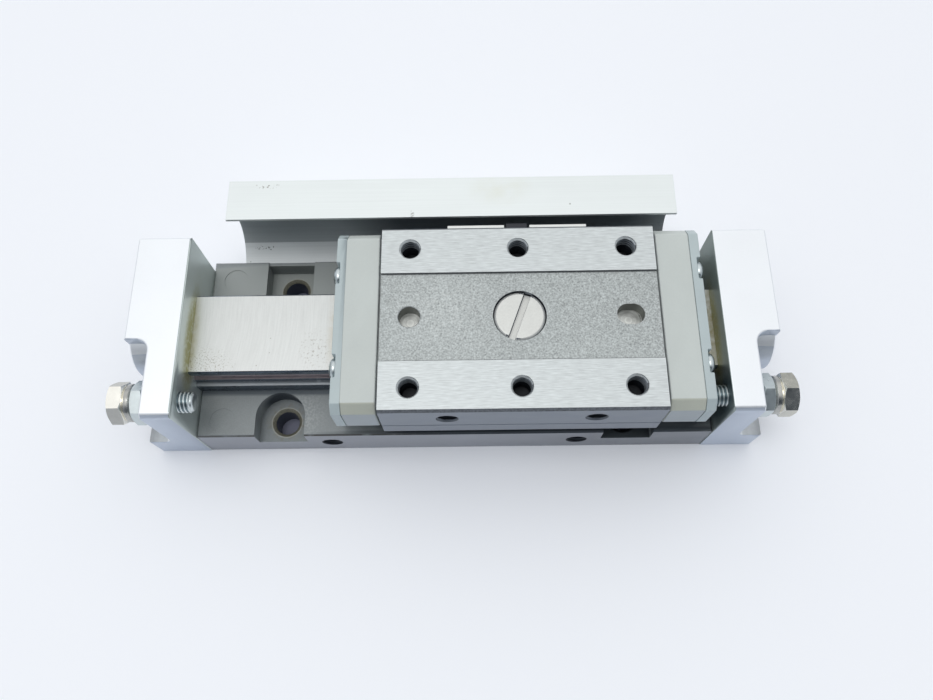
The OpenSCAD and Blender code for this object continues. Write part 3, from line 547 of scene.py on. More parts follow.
def lathe(profile, steps):
    """A closed solid turned about Z from (radius, height) points in millimetres, bottom to top."""
    made = bmesh.new()
    rings = []
    for radius, height in profile:
        angles = [math.tau * i / steps for i in range(steps if radius > 0 else 1)]
        rings.append([made.verts.new((radius * MM * math.cos(a), radius * MM * math.sin(a), height * MM))
                      for a in angles])
    for low, high in zip(rings, rings[1:]):
        for i in range(steps):
            j = (i + 1) % steps
            corners = [low[i % len(low)], low[j % len(low)], high[j % len(high)], high[i % len(high)]]
            unique = list(dict.fromkeys(corners))
            if len(unique) > 2:
                made.faces.new(unique)
    bmesh.ops.recalc_face_normals(made, faces=made.faces)
    return as_mesh(made, "turned")


def block(low, high):
    """A box between two corners in millimetres."""
    made = bmesh.new()
    bmesh.ops.create_cube(made, size=1.0)
    low, high = Vector(low) * MM, Vector(high) * MM
    for vert in made.verts:
        vert.co = [low[i] + (vert.co[i] + 0.5) * (high[i] - low[i]) for i in range(3)]
    return as_mesh(made, "block")


def placed(mesh, where, axis=(0, 0, 1), turn=0.0):
    """Turns a mesh made about Z so that Z points along an axis, and moves it, in millimetres."""
    way = Vector(axis).to_track_quat("Z", "Y").to_matrix().to_4x4()
    mesh.transform(Matrix.Translation(Vector(where) * MM) @ way @ Matrix.Rotation(turn, 4, "Z"))
    return mesh


def joined(meshes):
    """Several meshes as one, keeping their materials."""
    made = bmesh.new()
    materials = []
    for mesh in meshes:
        start = len(made.faces)
        made.from_mesh(mesh)
        made.faces.ensure_lookup_table()
        materials += [m for m in mesh.materials if m not in materials]
        slots = [materials.index(m) for m in mesh.materials]
        if slots:
            for face in made.faces[start:]:
                face.material_index = slots[min(face.material_index, len(slots) - 1)]
    whole = as_mesh(made, "joined")
    for material in materials:
        whole.materials.append(material)
    return whole


def paint(mesh, finishes, rule=None):
    """Gives a mesh its finishes. The rule picks one for a face from its centre, in mm, and normal."""
    mesh.materials.clear()
    for each in finishes:
        mesh.materials.append(plain(each))
    for face in mesh.polygons:
        face.material_index = rule(face.center / MM, face.normal) if rule else 0
    return mesh


def piece(name, mesh, body, slot, *nodes):
    """A finished piece that rides on a body and stands for CAD nodes."""
    mesh.name = name
    thing = bpy.data.objects.new(name, mesh)
    bpy.context.scene.collection.objects.link(thing)
    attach(thing, body)
    if nodes:
        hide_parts(*nodes)
    return thing


def finished(node, mesh, finishes, body, slot, rule=None):
    """The painted piece that stands for one CAD node."""
    return piece("finished_" + node, paint(mesh, finishes, rule), body, slot, node)


def coat(name, *nodes):
    """Puts a finish on CAD nodes that keep their own shape."""
    for node in nodes:
        for slot in frame["nodes"][node].material_slots:
            slot.material = plain(name)


# ---- Geometry nodes ----

def new_tree(name, inputs):
    """An empty modifier tree with named inputs, and its group input."""
    tree = bpy.data.node_groups.new(name, "GeometryNodeTree")
    tree.interface.new_socket("Geometry", in_out="INPUT", socket_type="NodeSocketGeometry")
    for label, kind in inputs:
        tree.interface.new_socket(label, in_out="INPUT", socket_type=kind)
    tree.interface.new_socket("Geometry", in_out="OUTPUT", socket_type="NodeSocketGeometry")
    return tree, add(tree, "NodeGroupInput")


def grown(tree, places, values):
    """Runs a tree on points, each (place in mm, axis), and returns a plain, smooth mesh."""
    seeds = bpy.data.meshes.new("seeds")
    seeds.from_pydata([Vector(p) * MM for p, _ in places], [], [])
    seeds.attributes.new("axis", "FLOAT_VECTOR", "POINT")
    for i, (_, axis) in enumerate(places):
        seeds.attributes["axis"].data[i].vector = axis
    thing = temporary(seeds)
    step = thing.modifiers.new("grow", "NODES")
    step.node_group = tree
    for item in tree.interface.items_tree:
        if item.item_type == "SOCKET" and item.in_out == "INPUT" and item.name in values:
            step[item.identifier] = values[item.name]
    mesh = settle(thing)
    made = bmesh.new()
    made.from_mesh(mesh)
    bmesh.ops.remove_doubles(made, verts=made.verts, dist=GROWN_WELD)
    bmesh.ops.dissolve_degenerate(made, edges=made.edges, dist=GROWN_SLIVER)
    bmesh.ops.recalc_face_normals(made, faces=made.faces)
    for face in made.faces:
        face.smooth = True
    made.to_mesh(mesh)
    made.free()
    return mesh


def place_copies(tree, group, copy):
    """Ends a tree: copies on the points, turned along their axis, realized, with a material."""
    axis = add(tree, "GeometryNodeInputNamedAttribute", {"Name": "axis"}, data_type="FLOAT_VECTOR")
    turn = add(tree, "FunctionNodeAlignRotationToVector", {"Vector": axis}, axis="Z")
    copies = add(tree, "GeometryNodeInstanceOnPoints", {
        "Points": group.outputs["Geometry"], "Instance": copy, "Rotation": turn})
    real = add(tree, "GeometryNodeRealizeInstances", {"Geometry": copies})
    smooth = add(tree, "GeometryNodeSetShadeSmooth", {"Geometry": real, "Shade Smooth": True})
    skin = add(tree, "GeometryNodeSetMaterial", {"Geometry": smooth, "Material": group.outputs["Material"]})
    add(tree, "NodeGroupOutput", {"Geometry": skin})
    return tree


# points round a thread, and rows of points in each pitch
THREAD_STEPS = 32
THREAD_ROWS = 8
# shares of the climb at which a thread's flank leaves the root and meets the crest
THREAD_FLANK = (0.12, 0.85)
THREAD_WELD = 1e-6


class Number:
    """A number in a node tree that takes part in plain arithmetic."""

    def __init__(self, tree, socket):
        self.tree, self.socket = tree, socket

    def run(self, operation, other=0.0):
        return Number(self.tree, calc(self.tree, operation, self.socket, getattr(other, "socket", other)))

    __add__ = partialmethod(run, "ADD")
    __sub__ = partialmethod(run, "SUBTRACT")
    __mul__ = partialmethod(run, "MULTIPLY")
    __truediv__ = partialmethod(run, "DIVIDE")


def thread_tree():
    """A helical thread about Z that ends at z = 0: a tapped wall, or a solid rod if Wall is 0."""
    if "Screw thread" in bpy.data.node_groups:
        return bpy.data.node_groups["Screw thread"]
    lengths = ["Crest", "Root", "Wall", "Mouth", "Tip", "Pitch", "Length"]
    tree, group = new_tree("Screw thread", [(n, "NodeSocketFloat") for n in lengths]
                           + [("Material", "NodeSocketMaterial")])
    crest, root, wall, mouth, tip, pitch, length = [Number(tree, group.outputs[n]) for n in lengths]

    # a sheet of rows and columns, wound up into a helix and held between the two ends
    last = ((length / pitch + 2) * THREAD_ROWS).run("CEIL")
    sheet = add(tree, "GeometryNodeMeshGrid", {
        "Size X": 1.0, "Size Y": 1.0, "Vertices X": THREAD_STEPS + 1, "Vertices Y": (last + 1.1).socket})
    where = add(tree, "ShaderNodeSeparateXYZ", {0: add(tree, "GeometryNodeInputPosition")})
    u = Number(tree, where.outputs[0]) + 0.5
    row = ((Number(tree, where.outputs[1]) + 0.5) * last).run("ROUND")
    z = (pitch * (row / THREAD_ROWS - 1 + u)).run("MAXIMUM", 0).run("MINIMUM", length)
    phase = (z / pitch - u + 2).run("FRACT")
    ramp = (phase * 2 - 1).run("ABSOLUTE").run("MULTIPLY", -1) + 1
    flank = Number(tree, spread(tree, ramp.socket, *THREAD_FLANK).outputs[0])
    left = length - z
    radius = (root + (crest - root) * flank).run("MAXIMUM", mouth - left).run("MINIMUM", tip + left)
    # the first and the last row stand at the wall, or on the axis of a rod
    end = row.run("LESS_THAN", 0.5).run("MAXIMUM", row.run("GREATER_THAN", last - 0.5))
    radius = end * wall + (end * -1 + 1) * radius
    angle = u * math.tau
    spot = add(tree, "ShaderNodeCombineXYZ", {
        0: (radius * angle.run("COSINE")).socket, 1: (radius * angle.run("SINE")).socket,
        2: (z - length).socket})
    skin = add(tree, "GeometryNodeSetPosition", {"Geometry": sheet, "Position": spot})
    tube = add(tree, "GeometryNodeMeshCylinder", {
        "Vertices": THREAD_STEPS, "Side Segments": 1, "Radius": wall.socket, "Depth": length.socket},
        fill_type="NONE")
    down = add(tree, "ShaderNodeCombineXYZ", {2: (length * -0.5).socket})
    tube = add(tree, "GeometryNodeTransform", {"Geometry": tube, "Translation": down})
    both = add(tree, "GeometryNodeJoinGeometry")
    tree.links.new(skin.outputs[0], both.inputs[0])
    tree.links.new(tube.outputs[0], both.inputs[0])
    chosen = add(tree, "GeometryNodeSwitch", {
        "Switch": wall.run("GREATER_THAN", 0).socket, "False": skin, "True": both}, input_type="GEOMETRY")
    closed = add(tree, "GeometryNodeMergeByDistance", {"Geometry": chosen, "Distance": THREAD_WELD})
    return place_copies(tree, group, closed)


def threads(places, crest, root, length, pitch, name, wall=0.0, mouth=0.0, tip=99.0):
    """Threads at (place, axis) pairs, with a plain finish. All sizes in millimetres."""
    spans = {"Crest": crest, "Root": root, "Wall": wall, "Mouth": mouth, "Tip": tip,
             "Pitch": pitch, "Length": length}
    values = {key: span * MM for key, span in spans.items()}
    return grown(thread_tree(), places, {**values, "Material": plain(name)})


def copies_tree():
    """Copies of one pattern object on points."""
    if "Placed copies" in bpy.data.node_groups:
        return bpy.data.node_groups["Placed copies"]
    tree, group = new_tree("Placed copies", [("Pattern", "NodeSocketObject"),
                                             ("Material", "NodeSocketMaterial")])
    pattern = add(tree, "GeometryNodeObjectInfo", {"Object": group.outputs["Pattern"]})
    return place_copies(tree, group, pattern.outputs["Geometry"])


def copies(pattern, places, name):
    """A pattern mesh, made about Z, at each (place in mm, axis), with a plain finish."""
    thing = temporary(pattern)
    mesh = grown(copies_tree(), places, {"Pattern": thing, "Material": plain(name)})
    bpy.data.objects.remove(thing)
    return mesh


# ---- Shared layout, in millimetres, from the CAD solids and the record ----

TAP_DEPTH = 5.9
SIDE_TAP_DEPTH = 3.3
BODY_TAP_DEPTH = 5.8
# radii of an M4 tap: where its threads end in the metal, and at its mouth
TAP = (2.03, 2.06)
# the same of an M5 air port
PORT = (2.52, 2.66)
# the cut threads stand this far inside the drilled wall and its floor, and a bolt's head off its nut
WALL_GAP = 0.03
FLOOR_GAP = 0.02
# radii of the stop bolts' threads at the crest and at the bevelled tip
BOLT_CREST = 1.97
BOLT_TIP = 1.45


def grid_places(*names):
    """Hole centres of bolt patterns, with the way they open."""
    places = []
    for name in names:
        m = mount(name)
        axis = Vector(m["axis"])
        across = [v for v in Matrix.Identity(3) if abs(v @ axis) < 0.5]
        centre = Vector(m["pos_m"]) / MM
        half_x, half_y = [m["dims"].get(key, 0) / 2 for key in ("spacing_x_mm", "spacing_y_mm")]
        places += [(centre + across[0] * half_x * i + across[1] * half_y * j, axis)
                   for i in ((-1, 1) if half_x else (0,)) for j in ((-1, 1) if half_y else (0,))]
    return places


def drilled(mesh, places, radius, depth):
    """Drills plain holes; the drills stand a little proud of the surface."""
    profile = [(0, -depth), (radius, -depth), (radius, 0.5), (0, 0.5)]
    return combine(mesh, joined([placed(lathe(profile, THREAD_STEPS), p, a) for p, a in places]))


def tapped(places, crest, size, depth, pitch, name):
    """The cut threads that line drilled holes of a size."""
    wall, mouth = size
    return threads(places, crest, wall - WALL_GAP, depth - FLOOR_GAP, pitch / MM, name, wall, mouth)


def off_axis(c, places):
    """Distance in plan from a place to the nearest of the hole axes."""
    return min(math.hypot(c.x - p.x, c.y - p.y) for p, _ in places)


# ---- Operators ----

class SLIDETABLE_OT_body(bpy.types.Operator):
    """Builds the cast body with its ground rail, pockets and threads"""
    bl_idname = "slide_table.body"
    bl_label = "Rail Body"

    def execute(self, context):
        low, high = box_mm("rail_body")
        taps, bolts = grid_places("body_side_taps"), grid_places("body_bolts")
        mesh = round_edges(drilled(merged("rail_body"), taps, TAP[0], BODY_TAP_DEPTH), sizes().cast_edge)
        # heights of the pocket floors, the flanges and the rail's foot, and the ball tracks
        seat = min(abs(p.z) for p, _ in taps) + 0.7
        foot_half, flange, ledge = 9.0, 10.0, 13.0
        track_y, track_z, track_reach = 8.35, 15.4, 1.3
        bolt_reach = 3
        top, flank, track, milled, floor, cast, foot, bevel, hole = range(9)

        def rule(c, n):
            if n.z > 0.9 and c.z > high.z - 0.25:
                return top
            if n.z > 0.7 and abs(c.z - ledge) < 0.3 and abs(c.y) < foot_half:
                return foot
            if c.z > flange + 0.15 and abs(c.y) < foot_half + 0.3:
                return track if math.hypot(abs(c.y) - track_y, c.z - track_z) < track_reach else flank
            if n.z > 0.9 and seat - 0.2 < c.z < flange - 1:
                return floor
            # below the oily mouth, the walls of the bolt holes are in painted shade
            if c.z < seat + 0.1 and off_axis(c, bolts) < bolt_reach:
                return bevel if c.z > seat - 0.7 else hole
            if n.z < -0.7 or c.y < low.y + 0.1 or c.y > high.y - 0.1 or abs(c.x) > high.x - 0.1:
                return milled
            return cast

        finished("rail_body", mesh, [
            ground_rail_top(), "Polished rail flank", "Oiled ball track", "Milled iron", spot_faced_iron(),
            "Blasted cast iron", "Worn rail ledge", "Oily bevel", "Oily bolt hole"],
            "body", "cast_body", rule)
        liner = tapped(taps, mount("body_side_taps")["dims"]["hole_r_mm"], TAP, BODY_TAP_DEPTH,
                       sizes().pitch, "Oily thread steel")
        piece("body_side_threads", liner, "body", "cast_body")
        return {"FINISHED"}


class SLIDETABLE_OT_plates(bpy.types.Operator):
    """Builds both end plates with their threaded air ports"""
    bl_idname = "slide_table.plates"
    bl_label = "End Plates"

    def execute(self, context):
        body_end, _, body_top = box_mm("rail_body")[1]
        thread_run_out = 0.4
        for side, word in SIDES:
            node = "end_plate_" + word
            port = mount("air_port_" + word)
            low, high = box_mm(node)
            place = (high.x if side > 0 else low.x, port["pos_m"][1] / MM, port["pos_m"][2] / MM)
            places = [(Vector(place), Vector(port["axis"]))]
            depth = port["dims"]["length_mm"] + thread_run_out
            mesh = drilled(merged(node), places, PORT[0], depth)
            mesh = round_edges(mesh, sizes().plate_edge, 3, 35, lambda m: (
                m.z > high.z - 1 and m.y < high.y - 0.5
                or m.y < low.y + 0.1 and abs(m.x) > body_end + 0.3))
            skin, greased, edge, worn, foot = range(5)

            def rule(c, n):
                if n.x * side < -0.7 and abs(c.x - side * body_end) < 0.3:
                    return greased
                if n.z > 0.9 and c.z < body_top:
                    return foot
                if 0.25 < n.z < 0.97 and n.x * side < -0.2:
                    return worn
                # front faces take the sawn edge finish, painted darker as painted shade
                return edge if n.y < -0.7 else skin

            finished(node, mesh, ["Clear anodised aluminium", greased_plate(side), "Anodised sawn edge",
                                  "Rubbed anodised edge", "Blasted anodised ledge"],
                     "body", "anodised_plate", rule)
            liner = tapped(places, port["dims"]["r_mm"], PORT, depth, sizes().port_pitch,
                           "Clear anodised aluminium")
            piece("port_thread_" + word, liner, "body", "anodised_plate")
        return {"FINISHED"}


class SLIDETABLE_OT_switch_rail(bpy.types.Operator):
    """Builds the extruded switch rail"""
    bl_idname = "slide_table.switch_rail"
    bl_label = "Switch Rail"

    def execute(self, context):
        low, high = box_mm("switch_rail")
        # heights of the lip's underside and of the bend in the leg
        lip, bend = high.z - 2.2, 11.45
        mesh = round_edges(merged("switch_rail"), sizes().lip_chamfer, 1, 28, lambda m: (
            m.y < low.y + 2 and abs(m.z - lip) < 0.1 and abs(m.x) < 1))
        mesh = round_edges(mesh, sizes().machined_edge)
        # the web under the lip is painted darker and the leg paler: painted shade and painted light
        skin, inside, leg = range(3)

        def rule(c, n):
            if abs(n.x) > 0.5 or c.z > lip + 1.6 or c.z < low.z + 2 or c.y < low.y + 0.1 or n.y > 0.5:
                return skin
            return inside if c.z > bend or n.y > -0.1 and n.z < 0.1 else leg

        finished("switch_rail", mesh, [
            "Anodised extrusion", "Anodised extrusion inside", "Anodised extrusion leg"],
            "body", "switch_extrusion", rule)
        return {"FINISHED"}


class SLIDETABLE_OT_block(bpy.types.Operator):
    """Builds the guide block of the table with its tapped holes and threads"""
    bl_idname = "slide_table.block"
    bl_label = "Guide Block"

    def execute(self, context):
        low, high = box_mm("guide_block")
        middle = (low.x + high.x) / 2
        top = grid_places("table_corner_taps", "table_middle_taps")
        side = grid_places("table_side_taps")
        mesh = drilled(merged("guide_block"), top, TAP[0], TAP_DEPTH)
        mesh = round_edges(drilled(mesh, side, TAP[0], SIDE_TAP_DEPTH), sizes().machined_edge, angle=24)
        # half the width of the sunk band, its height, and what is counted as a tap's wall
        band_half, band_z, tap_reach = 8.62, high.z - 0.4, 2.1
        strip, band, flank, rough, bore, point, dowel, oblong = range(8)

        def rule(c, n):
            if n.z > 0.85 and c.z > high.z - 0.12:
                return strip
            if n.z > 0.6 and abs(c.z - band_z) < 0.15 and abs(c.y) < band_half:
                return band
            if c.z < high.z - 1 and off_axis(c, top) < tap_reach:
                return point
            off_side = min(math.hypot(c.x - p.x, c.z - p.z) for p, _ in side)
            if off_side < tap_reach and abs(c.y) < high.y - 0.5:
                return point
            # the two dowel holes, one either side of the drive pin
            if abs(c.y) < 4 and 10 < abs(c.x - middle) < 24 and high.z - 5 < c.z < band_z - 0.1:
                return (dowel if c.x < middle else oblong) if n.z > 0.5 and c.z < band_z - 1 else bore
            # bevels left by the grinder: at the band's ends, along the outer edges and beside the band
            beside = abs(abs(c.y) - band_half)
            if beside < 0.4 and c.z > high.z - 0.6 and (c.x < low.x + 0.2 or c.x > high.x - 0.2):
                return rough
            if abs(n.y) > 0.4 and n.z > 0.4 and c.z > high.z - 0.7 and abs(c.y) > high.y - 0.75:
                return rough
            if c.z > high.z - 0.5 and band_half - 0.3 < abs(c.y) < band_half + 0.3:
                return rough
            return flank

        finished("guide_block", mesh, [
            "Ground block steel", "Bead blasted steel", "Milled block steel", "Rough bevel steel",
            "Bored steel", "Oily drill point", bored_floor("table_dowel_hole"),
            bored_floor("table_oblong_hole")],
            "table", "block_steel", rule)
        radius = mount("table_corner_taps")["dims"]["hole_r_mm"]
        liners = joined([tapped(places, radius, TAP, depth, sizes().pitch, "Cut thread steel")
                         for places, depth in ((top, TAP_DEPTH), (side, SIDE_TAP_DEPTH))])
        # crests show their own colour only near the top; deeper down all is painted near black as painted
        # shade
        crest_reach, lit_depth, mouth_depth = (radius + TAP[0]) / 2 - 0.08, 3, 0.38
        crest, mouth, root, side_mouth = range(4)

        def thread_rule(c, n):
            if c.z > high.z - mouth_depth:
                return mouth
            if c.y < low.y + mouth_depth or c.y > high.y - mouth_depth:
                return side_mouth
            return crest if off_axis(c, top) < crest_reach and c.z > high.z - lit_depth else root

        paint(liners, ["Cut thread steel", "Ground block steel", "Oily thread steel", "Oily tap mouth"],
              thread_rule)
        piece("table_threads", liners, "table", "block_steel")
        return {"FINISHED"}


class SLIDETABLE_OT_caps(bpy.types.Operator):
    """Builds the moulded end caps, their covers and wipers"""
    bl_idname = "slide_table.caps"
    bl_label = "End Caps"

    def execute(self, context):
        gap, top_depth, side_depth = sizes().cap_gap / MM, 1.0, 1.2
        edge, cover_edge = sizes().moulded_edge, sizes().moulded_edge * 0.6
        for side, word in SIDES:
            node = "end_cap_" + word
            low, high = box_mm(node)
            near, far = (low.x, low.x + gap) if side > 0 else (high.x - gap, high.x)
            # the open joint is a slice of a frame that stands round the cap
            joint = combine(block((near - 0.1, low.y - 1, low.z - 1), (far + 0.1, high.y + 1, high.z + 1)),
                            block((near - 0.5, low.y + side_depth, low.z - 2),
                                  (far + 0.5, high.y - side_depth, high.z - top_depth)))
            joint = combine(joint, block((near, low.y - 2, low.z - 3), (far, high.y + 2, high.z + 2)),
                            "INTERSECT")
            cap = round_edges(combine(merged(node), joint), edge, 3, 28,
                              lambda m: m.z > high.z - 3 or abs(m.y) > high.y - 2)
            # the front chamfer and the front face take darker, bluer copies of the cap's colour: painted
            # shade
            skin, bevel, front = range(3)
            finished(node, cap, [
                cap_plastic(), cap_plastic(" bevel", "#B6B9AD"), cap_plastic(" side", "#AFB6B8")],
                "table", "cap_plastic",
                lambda c, n: front if n.y < -0.85 else bevel if n.y < -0.3 else skin)
            node = "cap_cover_" + word
            low, high = box_mm(node)
            outer = high.x if side > 0 else low.x
            cover = round_edges(merged(node), cover_edge, 3, 28, lambda m: abs(m.x - outer) < 1)
            finished(node, cover, ["Moulded blue-grey acetal"], "table", "cover_plastic")
        coat("Nitrile rubber", "rail_wipers")
        return {"FINISHED"}


class SLIDETABLE_OT_pin(bpy.types.Operator):
    """Builds the slotted drive pin"""
    bl_idname = "slide_table.pin"
    bl_label = "Drive Pin"

    def execute(self, context):
        low, high = box_mm("drive_pin")
        middle, radius, head_height = (low + high) / 2, (high.x - low.x) / 2, 1.3
        mesh = merged("drive_pin")
        # the rim of the head spreads towards its hole
        for vert in mesh.vertices:
            away = Vector((vert.co.x / MM - middle.x, vert.co.y / MM - middle.y, 0))
            if vert.co.z / MM > high.z - head_height and away.length > radius - 0.1:
                vert.co += away.normalized() * sizes().pin_swell
        mesh = round_edges(mesh, sizes().small_edge * 1.4)

        # the walls of the slot are painted dark: painted shade
        def in_slot(c, n):
            inside = math.hypot(c.x - middle.x, c.y - middle.y) < radius
            return int(inside and high.z - 1.1 < c.z < high.z - 0.1 and n.z < 0.97)

        finished("drive_pin", mesh, ["Turned steel", "Oily bolt hole"], "table", "pin_steel", in_slot)
        return {"FINISHED"}


HEAD_STEPS = 40
HEAD_EDGE = 0.05 * MM


def pan_head(radius, height, shank, length):
    """A domed cross-recessed screw about Z, its seat at z = 0."""
    # the upright rim and the floor of the recess as shares of the height, the recess as shares of the radius
    rim, floor, reach, width = 0.35, 0.42, 0.62, 0.14
    dome = [(0, -length), (shank, -length), (shank, 0), (radius, 0), (radius, height * rim)]
    dome += [(radius * math.cos(a), height * (rim + (1 - rim) * math.sin(a)))
             for a in [math.radians(k) for k in range(15, 90, 15)]] + [(0, height)]
    head = lathe(dome, HEAD_STEPS)
    for turn in (0, math.pi / 2):
        half = Vector((radius * reach, radius * width, 0))
        blade = block(-half + Vector((0, 0, height * floor)), half + Vector((0, 0, height * 2)))
        head = combine(head, placed(blade, (0, 0, 0), turn=turn))
    return round_edges(head, HEAD_EDGE, 1)


class SLIDETABLE_OT_screws(bpy.types.Operator):
    """Builds the cross-recessed and socket screws"""
    bl_idname = "slide_table.screws"
    bl_label = "Screws"

    def execute(self, context):
        low, high = box_mm("cap_screws")
        radius, height = (high.z - low.z) / 2, 1.4
        middle = Vector((low + high) / 2)
        half_y = (high.y - low.y) / 2 - radius
        places = [((x, middle.y + y * half_y, middle.z), (side, 0, 0))
                  for x, side in ((high.x - height, 1), (low.x + height, -1)) for y in (-1, 1)]
        mesh = copies(pan_head(radius, height, shank=1.1, length=12), places, "Dull zinc plate")
        piece("finished_cap_screws", mesh, "table", "zinc_screw", "cap_screws")
        low, high = box_mm("magnet_screws")
        radius, height = 1.6, 0.6
        places = [((x, high.y - height, (low.z + high.z) / 2), (0, 1, 0))
                  for x in (low.x + radius, high.x - radius)]
        mesh = copies(pan_head(radius, height, shank=0.8, length=3.2), places, "Bright zinc plate")
        piece("finished_magnet_screws", mesh, "table", "zinc_screw", "magnet_screws")
        for node, slot, name in (("end_plate_screws", "black_screw", "Black oxide steel"),
                                 ("switch_rail_screws", "zinc_screw", "Bright zinc plate")):
            finished(node, round_edges(merged(node), sizes().small_edge * 1.5), [name], "body", slot)
        return {"FINISHED"}


class SLIDETABLE_OT_stop_bolts(bpy.types.Operator):
    """Builds the stop bolts with cut threads, and their lock nuts"""
    bl_idname = "slide_table.stop_bolts"
    bl_label = "Stop Bolts"

    def execute(self, context):
        depth, edge = sizes().thread_depth / MM, sizes().small_edge
        for side, word in SIDES:
            node, nut = "stop_bolt_" + word, "lock_nut_" + word
            low, high = box_mm(node)
            nut_low, nut_high = box_mm(nut)
            nut_out = nut_high.x if side > 0 else -nut_low.x
            tip, reach = sorted((abs(low.x), abs(high.x)))
            y, z = (low.y + high.y) / 2, (low.z + high.z) / 2
            start, stop = sorted((side * (nut_out + WALL_GAP), side * (reach + 1)))
            head = combine(merged(node), block((start, y - 6, z - 6), (stop, y + 6, z + 6)), "INTERSECT")
            head = round_edges(head, edge * 2.2, 3, 24)
            # the collar and the upper front flat are painted darkest, the other flats darker: painted shade
            bright, darkest_shade, darker_shade = range(3)
            collar = nut_out + 1.2

            def head_rule(c, n):
                if abs(c.x) < collar or n.y < -0.3 and n.z > 0.3 and abs(n.x) < 0.3:
                    return darkest_shade
                return darker_shade if abs(n.x) < 0.3 and n.z < 0.95 else bright

            def in_root(c, n):
                low_down = math.hypot(c.y - y, c.z - z) < BOLT_CREST - 0.62 * depth
                return int(low_down and abs(n.x) < 0.95 and abs(c.x) > tip + 0.6)

            paint(head, ["Nickel plated steel", shaded_nickel("Darkest shaded", "#B0B0AC"),
                         shaded_nickel("Darker", "#BDBBB0")], head_rule)
            rod = threads([((side * tip, y, z), (-side, 0, 0))], BOLT_CREST, BOLT_CREST - depth,
                          nut_out + 0.1 - tip, sizes().pitch / MM, "Bright zinc plate", tip=BOLT_TIP)
            paint(rod, ["Bright zinc plate", "Oily zinc plated root"], in_root)
            piece("finished_" + node, joined([head, rod]), node, "bolt_nickel", node)
            finished(nut, round_edges(merged(nut), edge, 2, 24), ["Dull zinc plate"], nut, "nut_zinc")
        return {"FINISHED"}


class SLIDETABLE_OT_magnet(bpy.types.Operator):
    """Builds the magnet and its two sheets"""
    bl_idname = "slide_table.magnet"
    bl_label = "Magnet"

    def execute(self, context):
        for node, name, slot in (("magnet_plates", "Bright rolled sheet", "bright_sheet"),
                                 ("magnet", "Sintered magnet", "magnet_black")):
            finished(node, round_edges(merged(node), sizes().small_edge), [name], "table", slot)
        return {"FINISHED"}


class SLIDETABLE_OT_inside(bpy.types.Operator):
    """Puts finishes on the pieces inside the bore and the ball loops"""
    bl_idname = "slide_table.inside"
    bl_label = "Inner Pieces"

    def execute(self, context):
        coat("Nitrile rubber", "bore_gaskets", "piston_seals", "piston_bumpers")
        coat("Polished bearing steel", "balls_front", "balls_back")
        coat("Filled resin", "wear_rings")
        coat("Turned aluminium", "piston")
        return {"FINISHED"}


def paper():
    """Matt coated paper: pale and even. It bounces less light than it shows."""
    material = bpy.data.materials.new("Pale paper")
    tree = emptied(material)
    rays = add(tree, "ShaderNodeLightPath").outputs
    seen = calc(tree, "ADD", rays["Is Camera Ray"], rays["Is Glossy Ray"])
    seen = calc(tree, "ADD", seen, rays["Is Transmission Ray"], True)
    tone = over(tree, seen, rgba("#CCD3DE"), "floor")
    place = add(tree, "ShaderNodeTexCoord").outputs["Object"]
    # painted shadow where it shows through the mounting holes
    for spot, _ in grid_places("body_bolts"):
        tone = patched(tree, place, tone, spot, (3, 3, 3), 0.1, 5, 0.0, 0.1, "#7C7F92")
    shader = add(tree, "ShaderNodeBsdfPrincipled", {"Base Color": tone, "Roughness": 0.6})
    add(tree, "ShaderNodeOutputMaterial", {"Surface": shader})
    return material


def studio():
    """A world with a bright ceiling leaning to the back, dim walls, a dark low front and a pale horizon."""
    world = bpy.data.worlds.new("Studio")
    tree = emptied(world)
    way = add(tree, "ShaderNodeTexCoord").outputs["Generated"]
    ceiling = vector(tree, "DOT_PRODUCT", way, (0.0, 0.32, 0.95), "Value")
    front = vector(tree, "DOT_PRODUCT", way, (0.1, -0.88, 0.47), "Value")
    height = add(tree, "ShaderNodeSeparateXYZ", {0: way}).outputs["Z"]
    sky = rgba("#B0B6BF")
    for value, start, stop, low, high, colour in ((ceiling, 0.3, 0.85, 0.0, 1.0, "#FDFEFF"),
                                                  (front, 0.72, 0.95, 0.0, 1.0, "#4A525B"),
                                                  (height, 0.12, 0.18, 1.0, 0.0, "#E6EAF0")):
        mask = spread(tree, value, start, stop, low, high, interpolation_type="SMOOTHSTEP")
        sky = over(tree, mask, sky, colour)
    light = add(tree, "ShaderNodeBackground", {"Color": sky, "Strength": 1.08})
    add(tree, "ShaderNodeOutputWorld", {"Surface": light})
    return world


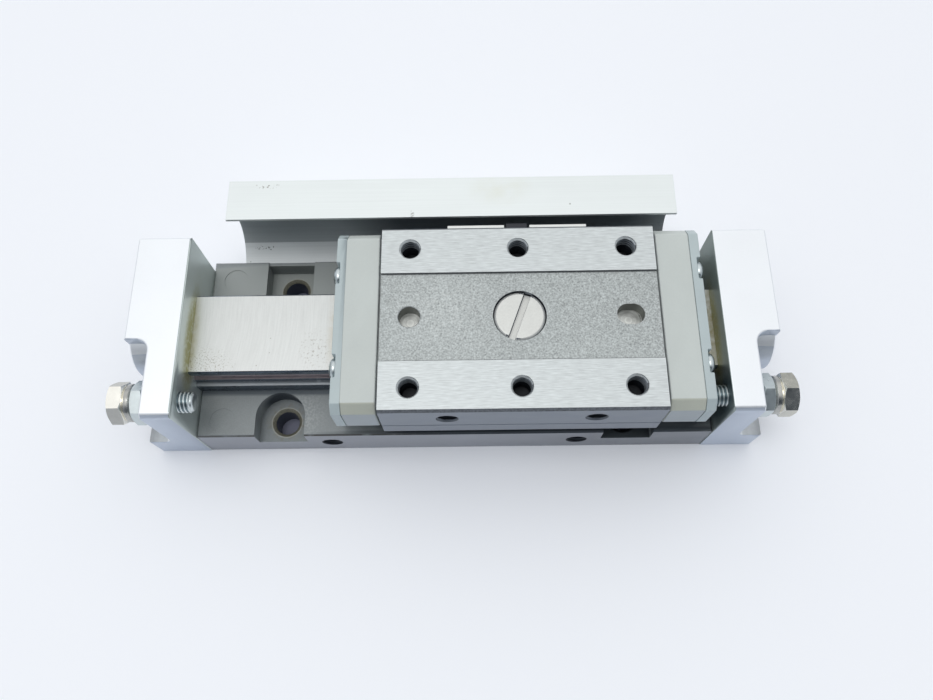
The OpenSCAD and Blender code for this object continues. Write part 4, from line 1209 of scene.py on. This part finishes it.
class SLIDETABLE_OT_stage(bpy.types.Operator):
    """Makes the floor, the light and the camera"""
    bl_idname = "slide_table.stage"
    bl_label = "Stage"

    def execute(self, context):
        scene = context.scene
        scene.view_settings.view_transform = "Standard"
        scene.world = studio()
        reach = 3.0
        ground = bpy.data.meshes.new("floor")
        ground.from_pydata([(-reach, -reach, 0), (reach, -reach, 0), (reach, reach, 0), (-reach, reach, 0)],
                           [], [(0, 1, 2, 3)])
        ground.materials.append(paper())
        floor = bpy.data.objects.new("floor", ground)
        # just under the body, so that the two faces don't meet
        floor.location.z = -0.02 * MM

        lamp = bpy.data.lights.new("key", "AREA")
        lamp.energy, lamp.size, lamp.shape = 1.3, 0.36, "DISK"
        key = bpy.data.objects.new("key", lamp)
        key.location = (-0.12, -0.02, 0.9)
        key.rotation_euler = (-key.location).to_track_quat("-Z", "Y").to_euler()

        lens = bpy.data.cameras.new("camera")
        lens.lens, lens.sensor_width, lens.clip_start = 30.98, 36.0, 0.005
        camera = bpy.data.objects.new("camera", lens)
        # place in millimetres and angles in degrees, as solved with the real size
        camera.location = (4.609 * MM, -56.722 * MM, 157.994 * MM)
        camera.rotation_euler = [math.radians(a) for a in (20.623, 0.941, -0.466)]
        for thing in (floor, key, camera):
            scene.collection.objects.link(thing)
        scene.camera = camera
        return {"FINISHED"}


STEPS = ("body", "plates", "switch_rail", "block", "caps", "pin", "screws", "stop_bolts", "magnet",
         "inside", "stage")


class SLIDETABLE_PT_panel(bpy.types.Panel):
    """Lists the sizes, the colours and every step"""
    bl_idname = "SLIDETABLE_PT_panel"
    bl_label = "Slide Table"
    bl_space_type = "VIEW_3D"
    bl_region_type = "UI"
    bl_category = "Slide Table"

    def draw(self, context):
        for group in (context.scene.slide_table_sizes, context.scene.slide_table_colours):
            column = self.layout.column(align=True)
            for name in group.__annotations__:
                column.prop(group, name)
        column = self.layout.column()
        for step in STEPS:
            column.operator("slide_table." + step)


CLASSES = (SlideTableSizes, SlideTableColours, SLIDETABLE_OT_body, SLIDETABLE_OT_plates,
           SLIDETABLE_OT_switch_rail, SLIDETABLE_OT_block, SLIDETABLE_OT_caps, SLIDETABLE_OT_pin,
           SLIDETABLE_OT_screws, SLIDETABLE_OT_stop_bolts, SLIDETABLE_OT_magnet, SLIDETABLE_OT_inside,
           SLIDETABLE_OT_stage, SLIDETABLE_PT_panel)


def register():
    for cls in CLASSES:
        bpy.utils.register_class(cls)
    bpy.types.Scene.slide_table_sizes = PointerProperty(type=SlideTableSizes)
    bpy.types.Scene.slide_table_colours = PointerProperty(type=SlideTableColours)


def unregister():
    del bpy.types.Scene.slide_table_colours
    del bpy.types.Scene.slide_table_sizes
    for cls in reversed(CLASSES):
        bpy.utils.unregister_class(cls)


def main():
    register()
    for step in STEPS:
        getattr(bpy.ops.slide_table, step)()


if __name__ == "__main__":
    main()
